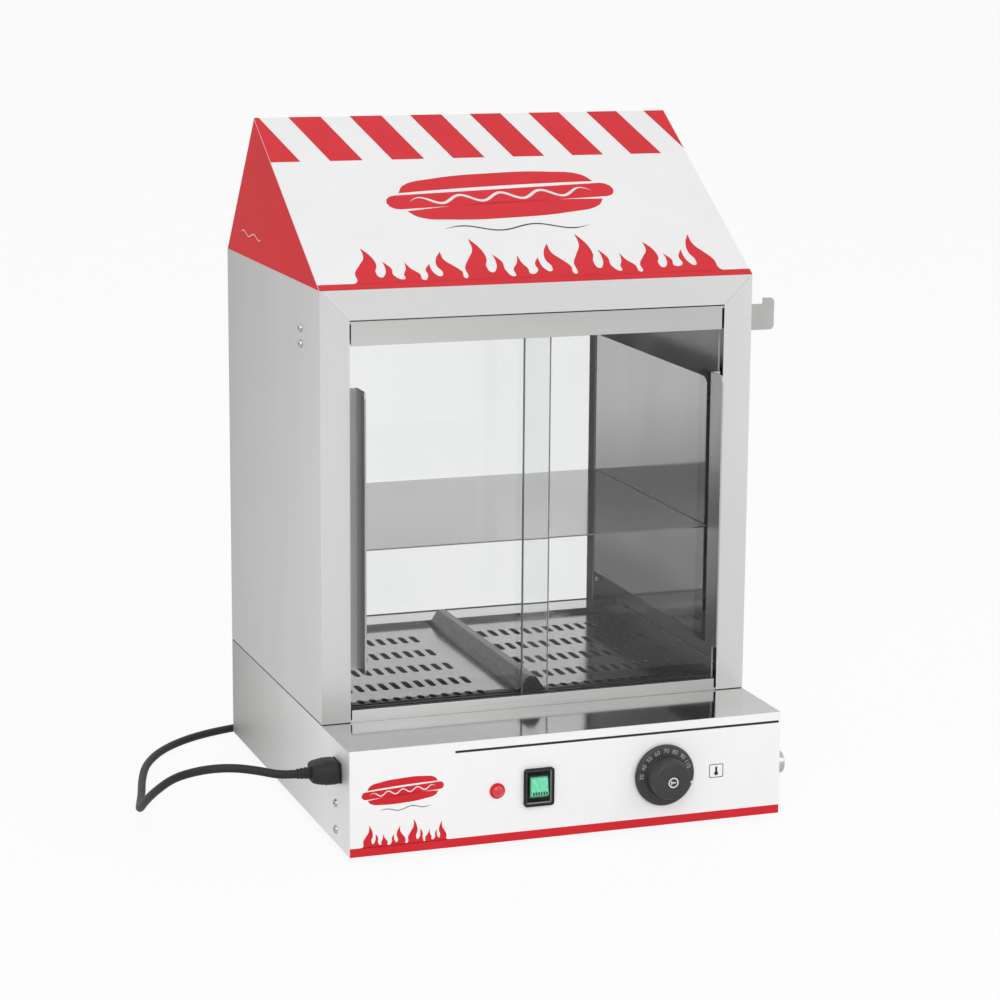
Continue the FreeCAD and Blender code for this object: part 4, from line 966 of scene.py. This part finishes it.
def roofStripes():
    facts = roofFacts
    outlines = []
    for number in range(*facts["stripeNumbers"]):
        start = facts["stripeStart"] + number * facts["stripePitch"]
        end = start + facts["stripeWidth"]
        lean, length, width = facts["stripeLean"], facts["stripeLength"], facts["width"]
        corners = [(start, 0), (end, 0), (end + lean, -length), (start + lean, -length)]
        if start < 0:
            corners = [(0, 0), (end, 0), (end + lean, -length), (0, -length)]
        if end > width:
            corners = [(start, 0), (width, 0), (width, -length * (width - start) / lean)]
        outlines.append(corners)
    flatPrint("roofStripes", outlines, roofGround, redInk)


roofTongues = [
    ("large", 0.052, 0.036, 0.046, 1), ("small", 0.082, 0.018, 0.026, -1), ("large", 0.110, 0.034, 0.038, -1),
    ("large", 0.148, 0.038, 0.054, 1), ("small", 0.178, 0.017, 0.030, 1), ("large", 0.206, 0.034, 0.044, -1),
    ("large", 0.243, 0.036, 0.056, 1), ("small", 0.272, 0.018, 0.028, -1), ("large", 0.300, 0.034, 0.042, 1),
    ("large", 0.336, 0.034, 0.050, -1),
]


def roofFlames():
    facts = roofFacts
    low = -facts["slope"]
    high = low + facts["border"]
    flatPrint("roofBorder", [boxOutline(0, facts["width"], low, high)], roofGround, redInk)
    row = flameRow(*facts["flameSpan"], high - facts["flameOverlap"], roofTongues)
    flatPrint("roofFlames", [row], roofGround, redInk, sharp=False)


pictureShares = {
    "bunWidth": 0.86,
    "gap": 0.014,
    "sausage": 0.046,
    "upper": 0.095,
    "lower": 0.085,
    "mustard": 0.007,
    "mustardSpan": 0.8,
    "mustardRise": 0.5,
    "mustardWaves": (4.5, 72),
    "swashWaves": (2, 60),
    "bows": (0.6, 1.4),
    "taper": 8,
    "tip": 0.05,
}
bunShares = [(-0.5, 0.0), (-0.46, 0.5), (-0.3, 0.86), (0.0, 1.0), (0.3, 0.86), (0.46, 0.5), (0.5, 0.0)]


def arched(x, y, width, rise, bow):
    # a bun half: a domed outer side and an inner side that bows the same way
    outer = [(x + u * width, y + v * rise, u in (-0.5, 0.5)) for u, v in bunShares]
    inner = [(x + u * width, y + bow * (1 - (2 * u) ** 2)) for u in (0.3, 0.0, -0.3)]
    return outer + inner


def wave(length, rise, turns, count):
    # points along a sine wave about the origin
    shares = [k / count for k in range(count + 1)]
    return [(length * (share - 0.5), rise * math.sin(math.tau * turns * share)) for share in shares]


def shifted(ground, centre, tilt):
    # a ground about a point of its own, turned by degrees
    place, *others = ground
    return (place @ placed((*centre, 0), (tilt, "Z")), *others)


def sausagePicture(name, ground, centre, length, tilt):
    # a plain picture of a sausage in a bun with a wave of mustard, in the place of lettering
    spot = shifted(ground, centre, tilt)
    shares = pictureShares
    wide, gap, thick = (length * shares[key] for key in ("bunWidth", "gap", "sausage"))
    upper = arched(0, thick + gap, wide, length * shares["upper"], gap * shares["bows"][0])
    lower = arched(0, -thick - gap, wide, -length * shares["lower"], gap * shares["bows"][1])
    sausage = []
    for side in (1, -1):
        # a half circle at each end
        for part in range(7):
            angle = math.radians(90 * side - 30 * part)
            sausage.append(onCircle(side * (length / 2 - thick), 0, thick, angle))
    flatPrint(name, [upper, lower], spot, redInk, sharp=False)
    flatPrint(name + "Sausage", [sausage], spot, redInk)
    waves = wave(length * shares["mustardSpan"], thick * shares["mustardRise"], *shares["mustardWaves"])
    mustard = ribbon(waves, length * shares["mustard"])
    flatPrint(name + "Mustard", [mustard], spot, whiteInk, rise=roofFacts["lift"])


def ribbon(middle, halfWidth):
    # a band of even width with pointed ends along a row of points
    left = []
    right = []
    last = len(middle) - 1
    taper, tip = pictureShares["taper"], pictureShares["tip"]
    for number, (x, y) in enumerate(middle):
        before, after = middle[max(number - 1, 0)], middle[min(number + 1, last)]
        along = Vector((after[0] - before[0], after[1] - before[1])).normalized()
        ends = [taper * places / last + tip for places in (number, last - number)]
        half = halfWidth * min(1.0, *ends)
        left.append((x - along.y * half, y + along.x * half))
        right.append((x + along.y * half, y - along.x * half))
    return left + right[::-1]


def swash(name, ground, ink, centre, length, rise, halfWidth, tilt=0):
    # a thin wavy flourish like a wisp of steam
    waves = wave(length, rise, *pictureShares["swashWaves"])
    flatPrint(name, [ribbon(waves, halfWidth)], shifted(ground, centre, tilt), ink)


roofStripes()
roofFlames()
sausagePicture("roofPicture", roofGround, centre=(0.19, -0.119), length=0.208, tilt=3)
swash("roofSwash", roofGround, blackInk, centre=(0.192, -0.162), length=0.13, rise=0.0036, halfWidth=0.0008)

panelFacts = {
    "stripe": (-0.19, 0.19, 0.006, 0.0134),
    "line": (-0.1003, 0.1882, 0.0858, 0.0878),
    "flameSpan": (-0.184, -0.105),
    "flameOverlap": 0.0004,
    "flames": [
        ("large", -0.172, 0.014, 0.019, 1), ("small", -0.161, 0.007, 0.0105, -1),
        ("large", -0.149, 0.013, 0.016, -1), ("large", -0.134, 0.014, 0.0205, 1),
        ("small", -0.123, 0.007, 0.011, 1), ("large", -0.113, 0.011, 0.017, -1),
    ],
    "sign": (0.1315, 0.0488),
    "signFrame": [(0.0128, 0.0118, 0.0012), (0.0116, 0.0106, 0.0009)],
    "signBulb": (0.0, -0.0022, 0.0018),
    "signStem": (-0.0009, 0.0009, -0.0015, 0.0036),
}


def ringOutline(x, y, radius, count=24):
    return [onCircle(x, y, radius, math.tau * k / count) for k in range(count)]


def roundBox(width, height, radius):
    points = []
    for cornerX, cornerY, start in ((1, 1, 0), (-1, 1, 90), (-1, -1, 180), (1, -1, 270)):
        for part in range(5):
            middle = (cornerX * (width / 2 - radius), cornerY * (height / 2 - radius))
            points.append(onCircle(*middle, radius, math.radians(start + part * 22.5)))
    return points


def consolePrints():
    facts = panelFacts
    flatPrint("frontStripe", [boxOutline(*facts["stripe"])], panelRed, redInk)
    flatPrint("frontLine", [boxOutline(*facts["line"])], panelBlack, blackInk)
    row = flameRow(*facts["flameSpan"], facts["stripe"][3] - facts["flameOverlap"], facts["flames"])
    flatPrint("frontFlames", [row], panelRed, redInk, sharp=False)
    sign = shifted(panelBlack, facts["sign"], 0)
    flatPrint("thermometerFrame", [roundBox(*each) for each in facts["signFrame"]], sign, blackInk)
    flatPrint("thermometerBulb", [ringOutline(*facts["signBulb"])], sign, blackInk)
    stem = [boxOutline(*facts["signStem"])]
    flatPrint("thermometerStem", stem, sign, blackInk, rise=roofFacts["thickness"])
    sausagePicture("frontPicture", panelRed, centre=(-0.145, 0.0585), length=0.07, tilt=3)
    swash("frontSwash", panelBlack, blackInk, centre=(-0.143, 0.0438), length=0.044, rise=0.0012,
          halfWidth=0.0003, tilt=2)
    swash("gableSwash", gableGround, whiteInk, centre=(-0.105, 0.478), length=0.07, rise=0.0018,
          halfWidth=0.0004)


consolePrints()
print("prints laid")

# Thermostat knob with its numbers

knobFacts = {
    "centre": (0.0833, -0.1912, 0.0505),
    "sides": 96,
    "outline": [
        (0.003, 0.0), (0.0259, 0.0), (0.0262, 0.0004), (0.0262, 0.0026), (0.0256, 0.0034), (0.0243, 0.004),
        (0.0181, 0.0042), (0.0177, 0.0047), (0.0175, 0.0056), (0.017, 0.0184), (0.0166, 0.0194),
        (0.0158, 0.0199), (0.0146, 0.02), (0.006, 0.0197), (0.0, 0.0196),
    ],
    "numbers": ["30", "40", "50", "60", "70", "80", "90", "110"],
    "firstAngle": 178,
    "angleStep": -22,
    "numberRadius": 0.0214,
    "numberSize": 0.0053,
    "numberLevel": 0.00418,
    "numberDepth": 0.00003,
    "mark": (0.0005, -0.0015, 0.0198),
    "markLift": 0.0001,
    "markRing": (0.0045, 0.0034),
    "markBar": (-0.0022, -0.0013, -0.0018, 0.0018),
    "markArrow": (-0.0013, 0.0022, -0.0005, 0.0005),
    "flankLevel": 0.0052,
    "flankRadius": 0.004,
    "flankAngle": -40,
    "pinch": 0.03,
    "pointer": ((0.023, -0.001, 0.0012), (0.02615, 0.001, 0.0044)),
    "pointerTurn": -18,
    "pointerEdge": 0.0003,
}


def knobPlace(x, z, out, turn=0):
    # a spot on the knob's faces: across, up and out of the panel, turned about the knob's axis
    cx, cy, cz = knobFacts["centre"]
    return placed((cx + x, cy - out, cz + z), (90, "X"), (turn, "Z"))


def knobMark(text, angle):
    # one number on the knob's flange, upright where it comes to the top
    facts = knobFacts
    clearSelection()
    bpy.ops.object.text_add()
    word = bpy.context.object
    word.data.body = text
    word.data.size = facts["numberSize"]
    word.data.align_x = "CENTER"
    word.data.align_y = "CENTER"
    word.data.extrude = facts["numberDepth"]
    bpy.ops.object.convert(target="MESH")
    word = bpy.context.object
    spot = onCircle(0, 0, facts["numberRadius"], math.radians(angle))
    word.matrix_world = knobPlace(*spot, facts["numberLevel"], angle - 90)
    applyPlace(word)
    return word


def makeKnob():
    facts = knobFacts
    knob = spunShape("thermostatKnob", facts["outline"], knobPlace(0, 0, 0), facts["sides"])
    cx, cy, cz = facts["centre"]
    for corner in knob.data.vertices:
        # the grip has two flattened flanks, hollow towards the bottom
        x, z = corner.co.x - cx, corner.co.z - cz
        if cy - corner.co.y > facts["flankLevel"] and math.hypot(x, z) > facts["flankRadius"]:
            angle = math.atan2(z, x) - math.radians(facts["flankAngle"])
            narrowing = 1 - facts["pinch"] * (0.5 - 0.5 * math.cos(3 * angle))
            corner.co.x = cx + x * narrowing
            corner.co.z = cz + z * narrowing
    smooth(knob, 40)
    dress(knob, knobPlastic, "dial")
    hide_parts("thermostat_knob")
    angles = [facts["firstAngle"] + number * facts["angleStep"] for number in range(len(facts["numbers"]))]
    numbers = joinPieces("knobNumbers", [knobMark(*mark) for mark in zip(facts["numbers"], angles)])
    dress(numbers, greyInk, "dial")
    face = (knobPlace(*facts["mark"]), facts["markLift"], "dial", "knob_plastic")
    flatPrint("knobRing", [ringOutline(0, 0, radius) for radius in facts["markRing"]], face, whiteInk)
    flatPrint("knobBar", [boxOutline(*facts["markBar"])], face, whiteInk)
    flatPrint("knobArrow", [boxOutline(*facts["markArrow"])], face, whiteInk)
    pointer = startCube("knobPointer", *facts["pointer"])
    pointer.matrix_world = knobPlace(0, 0, 0, facts["pointerTurn"])
    applyPlace(pointer)
    addBevel(pointer, facts["pointerEdge"])
    dress(pointer, whiteInk, "dial")


makeKnob()

# Rocker switch and lamp

switchFacts = {
    "middle": (-0.028, 0.0505),
    "front": -0.192,
    "lip": 0.0013,
    "slope": 0.0017,
    "step": 0.0012,
    "clearance": 0.00002,
    "slopeNormals": (0.2, 0.95),
    "corner": 0.0022,
    "cornerSteps": 4,
    "halfWidth": 0.013,
    "halfHeight": 0.016,
    "teeth": 6,
    "toothPitch": 0.0023,
    "tooth": ((-0.0006, -0.0003, 0.0028), (0.0006, 0.0012, 0.0056)),
    "toothEdge": 0.0002,
    "rockerEdge": 0.0005,
}


def bezelCorner(one, two):
    # the four short corner edges of the bezel's frame
    x, z = switchFacts["middle"]
    wide, high = switchFacts["halfWidth"] - 2 * nearby, switchFacts["halfHeight"] - 2 * nearby
    return all(abs(co.x - x) > wide and abs(co.z - z) > high for co in (one, two))


def makeSwitch():
    # a black bezel whose lip slopes down to the lit rocker, which has teeth for the finger
    facts = switchFacts
    x, z = facts["middle"]
    wide, high, front, step = facts["halfWidth"], facts["halfHeight"], facts["front"], facts["step"]
    plate = mergedCopy("bezelPlate", "switch_bezel")
    for corner in plate.data.vertices:
        if corner.co.y < front + nearby:
            corner.co.y = front + step
    bevelEdges(plate, bezelCorner, facts["corner"], facts["cornerSteps"])
    lip = startCube("bezelLip", (x - wide, front, z - high), (x + wide, front + step, z + high))
    chooseFaces(lip, lambda middle, normal: normal.y < -0.9)
    bpy.ops.mesh.inset(thickness=facts["lip"])
    bpy.ops.mesh.inset(thickness=facts["slope"], depth=facts["clearance"] - step)
    bpy.ops.mesh.delete(type="FACE")
    bpy.ops.object.mode_set(mode="OBJECT")
    bevelEdges(lip, bezelCorner, facts["corner"], facts["cornerSteps"])
    bezel = joinPieces("switchBezel", [plate, lip])
    least, most = facts["slopeNormals"]
    for face in bezel.data.polygons:
        # painted highlight: the slopes at the right and below take the grey for the light they catch
        near = max(abs(face.center.x - x) - wide, abs(face.center.z - z) - high)
        lit = face.normal.x < -least or face.normal.z > least
        face.material_index = int(lit and least < -face.normal.y < most and near < -facts["lip"])
    smooth(bezel, 30, True)
    dress(bezel, switchPlastic, "cabinet", [litRimPlastic])
    rocker = mergedCopy("switchRocker", "rocker")
    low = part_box("rocker")[0]
    addBevel(rocker, facts["rockerEdge"], 3)
    smooth(rocker, 40, True)
    dress(rocker, greenPlastic, "switch_rocker")
    teeth = []
    for number in range(facts["teeth"]):
        spot = Vector((x + (number - (facts["teeth"] - 1) / 2) * facts["toothPitch"], low[1], low[2]))
        tooth = startCube("tooth", *(spot + Vector(corner) for corner in facts["tooth"]))
        addBevel(tooth, facts["toothEdge"], 2)
        teeth.append(tooth)
    grip = joinPieces("rockerTeeth", teeth)
    dress(grip, switchPlastic, "switch_rocker")


lampFacts = {
    "centre": (-0.064, -0.19, 0.0505),
    "sides": 48,
    "collar": [(0.005, -0.0002), (0.0065, 0.0), (0.0065, 0.001), (0.0062, 0.0014), (0.0054, 0.0015),
               (0.0051, 0.0011), (0.0051, 0.0)],
    "dome": [(0.0051, 0.0), (0.0051, 0.0018), (0.0047, 0.003), (0.0037, 0.0039), (0.002, 0.0044),
             (0.0, 0.0045)],
}


def makeLamp():
    # a domed lens in a darker collar
    place = placed(lampFacts["centre"], (90, "X"))
    ring = spunShape("lampCollar", lampFacts["collar"], place, lampFacts["sides"])
    smooth(ring, 40)
    dress(ring, redInk, "cabinet")
    lens = spunShape("lampLens", lampFacts["dome"], place, lampFacts["sides"])
    smooth(lens, 30)
    dress(lens, redPlastic, "cabinet")
    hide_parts("lamp_lens")


makeSwitch()
makeLamp()
print("controls made")

# Screws: pan heads with a cross recess

screwFacts = {
    "outline": [(0.0002, -0.005), (0.002, -0.005), (0.002, 0.0), (0.0036, 0.0), (0.0036, 0.0006),
                (0.0033, 0.0012), (0.0025, 0.0016), (0.0013, 0.0018), (0.0, 0.0018)],
    "recess": ((-0.0017, -0.00032, 0.0008), (0.0017, 0.00032, 0.003)),
    "sides": 32,
    "shortShank": -0.0008,
    "firstTurn": 20,
    "nextTurn": 35,
}
screwGroups = {
    "left": (-90, "Y", [
        (-0.19, -0.15, 0.018), (-0.19, -0.15, 0.0407), (-0.19, -0.052, 0.4062), (-0.19, -0.052, 0.4192)]),
    "right": (90, "Y", [(0.19, -0.15, 0.018), (0.19, -0.15, 0.0407)]),
    "hook": (90, "Y", [(0.1915, -0.052, 0.4062), (0.1915, -0.052, 0.4192)]),
    "rear": (90, "X", [(-0.1713, 0.189, 0.1262), (0.1713, 0.189, 0.1262)]),
}


def makeScrew():
    # one head at the origin, facing up, with the recess pressed in from above
    head = spunShape("screwHead", screwFacts["outline"], Matrix.Identity(4), screwFacts["sides"])
    for turn in (0, 90):
        slotTool = startCube("screwSlot", *screwFacts["recess"])
        slotTool.rotation_euler = (0, 0, math.radians(turn))
        applyPlace(slotTool)
        cut = head.modifiers.new("Slot", "BOOLEAN")
        cut.operation = "DIFFERENCE"
        cut.solver = "EXACT"
        cut.object = slotTool
        applyAll(head)
        bpy.data.objects.remove(slotTool)
    smooth(head, 35)
    return head


def placeScrews():
    pattern = makeScrew()
    heads = {}
    for group, (degrees, axis, spots) in screwGroups.items():
        heads[group] = []
        for number, spot in enumerate(spots):
            head = newObject("screw", pattern.data.copy())
            if group == "rear":
                # these end inside the thin rear plate
                for corner in head.data.vertices:
                    corner.co.z = max(corner.co.z, screwFacts["shortShank"])
            turn = screwFacts["firstTurn"] + screwFacts["nextTurn"] * number
            head.matrix_world = placed(spot, (degrees, axis), (turn, "Z"))
            applyPlace(head)
            heads[group].append(head)
    bpy.data.objects.remove(pattern)
    for name, *groups in (("sideScrews", "left", "right"), ("rearScrews", "rear"), ("hookScrews", "hook")):
        row = joinPieces(name, [head for group in groups for head in heads[group]])
        dress(row, boltSteel, "cabinet")
    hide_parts("side_screws")
    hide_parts("hook_screws")


placeScrews()
print("screws placed")

# Stage: floor, soft lamps and a white surround

stageFacts = {
    "floor": 80.0,
    "floorLevel": -0.0002,
    "floorRough": 0.9,
    "floorLight": 0.9,
    "floorGloss": 0.35,
    "paper": "F4F4F4",
    "table": "585858",
    "mirroredShadeEnd": (0.8, 1.9),
    "worldLight": 0.62,
    "deepLight": 0.3,
    "lampAim": (0, 0, 0.28),
    "lamps": [
        ("keyLamp", (-0.9, -2.6, 1.7), 27, 1.6),
        ("fillLamp", (2.0, -2.2, 1.4), 12, 1.8),
        ("topLamp", (0.2, 0.6, 2.8), 8, 1.8),
    ],
}


def shadeByBounces(tree, rays, full):
    # a surround that is seen in a second mirroring surface, deep inside the cabinet, is darker
    twice = rangeNode(tree, rays.outputs["Glossy Depth"], 1.0, 2.0, 0.0, 1.0)
    inside = mathNode(tree, "GREATER_THAN", rays.outputs["Transmission Depth"], 0.5)
    both = mathNode(tree, "MULTIPLY", twice, inside)
    return rangeNode(tree, both, 0.0, 1.0, full, stageFacts["deepLight"])


def straightRays(tree):
    # rays that come from the camera, or through glass
    rays = addNode(tree, "ShaderNodeLightPath", {})
    return rays, mathNode(tree, "MAXIMUM", rays.outputs["Is Camera Ray"], rays.outputs["Is Transmission Ray"])


def makeFloor():
    facts = stageFacts
    clearSelection()
    bpy.ops.mesh.primitive_plane_add(size=facts["floor"], location=(0, 0, facts["floorLevel"]))
    floor = bpy.context.object
    floor.name = "floor"
    applyPlace(floor)
    material, tree, shader = startMaterial("whitePaperFloor", {"Roughness": facts["floorRough"]})
    rays, straight = straightRays(tree)
    # painted shade: where the baffles mirror the floor through the rear glass, its colour darkens near the
    # steamer and fades out behind it
    mirrored = mathNode(tree, "GREATER_THAN", rays.outputs["Glossy Depth"], 0.5)
    behind = mathNode(tree, "MULTIPLY", mirrored, rays.outputs["Is Transmission Ray"])
    near = rangeNode(tree, alongAxis(tree, "Y"), *facts["mirroredShadeEnd"], 1.0, 0.0)
    shade = mathNode(tree, "MULTIPLY", behind, near)
    ink = blendColours(tree, shade, srgb(facts["paper"]), srgb(facts["table"]))
    feedInputs(tree, shader, {"Base Color": ink})
    clear = mathNode(tree, "SUBTRACT", straight, shade)
    white = mathNode(tree, "MULTIPLY", clear, shadeByBounces(tree, rays, facts["floorLight"]))
    gloss = mathNode(tree, "MULTIPLY", rays.outputs["Is Glossy Ray"], facts["floorGloss"])
    glow = addNode(tree, "ShaderNodeEmission", {"Color": (1, 1, 1, 1), "Strength": 1.0})
    mix = addNode(tree, "ShaderNodeMixShader", {
        0: mathNode(tree, "MAXIMUM", white, gloss), 1: shader.outputs[0], 2: glow.outputs[0]})
    feedInputs(tree, tree.nodes["Material Output"], {"Surface": mix.outputs[0]})
    floor.data.materials.append(material)


def makeSurround():
    world = bpy.data.worlds.new("whiteStudio")
    world.use_nodes = True
    bpy.context.scene.world = world
    tree = world.node_tree
    rays, straight = straightRays(tree)
    either = mathNode(tree, "MAXIMUM", straight, rays.outputs["Is Glossy Ray"])
    strength = rangeNode(tree, either, 0.0, 1.0, stageFacts["worldLight"], 1.0)
    shaded = mathNode(tree, "MULTIPLY", strength, shadeByBounces(tree, rays, 1.0))
    feedInputs(tree, tree.nodes["Background"], {"Color": (1, 1, 1, 1), "Strength": shaded})
    for name, place, power, size in stageFacts["lamps"]:
        lampData = bpy.data.lights.new(name, "AREA")
        lampData.energy = power
        lampData.size = size
        lamp = newObject(name, lampData)
        lamp.location = place
        aim = Vector(stageFacts["lampAim"]) - Vector(place)
        lamp.rotation_euler = aim.to_track_quat("-Z", "Y").to_euler()
    bpy.context.scene.view_settings.view_transform = "Standard"


makeFloor()
makeSurround()
print("stage set")
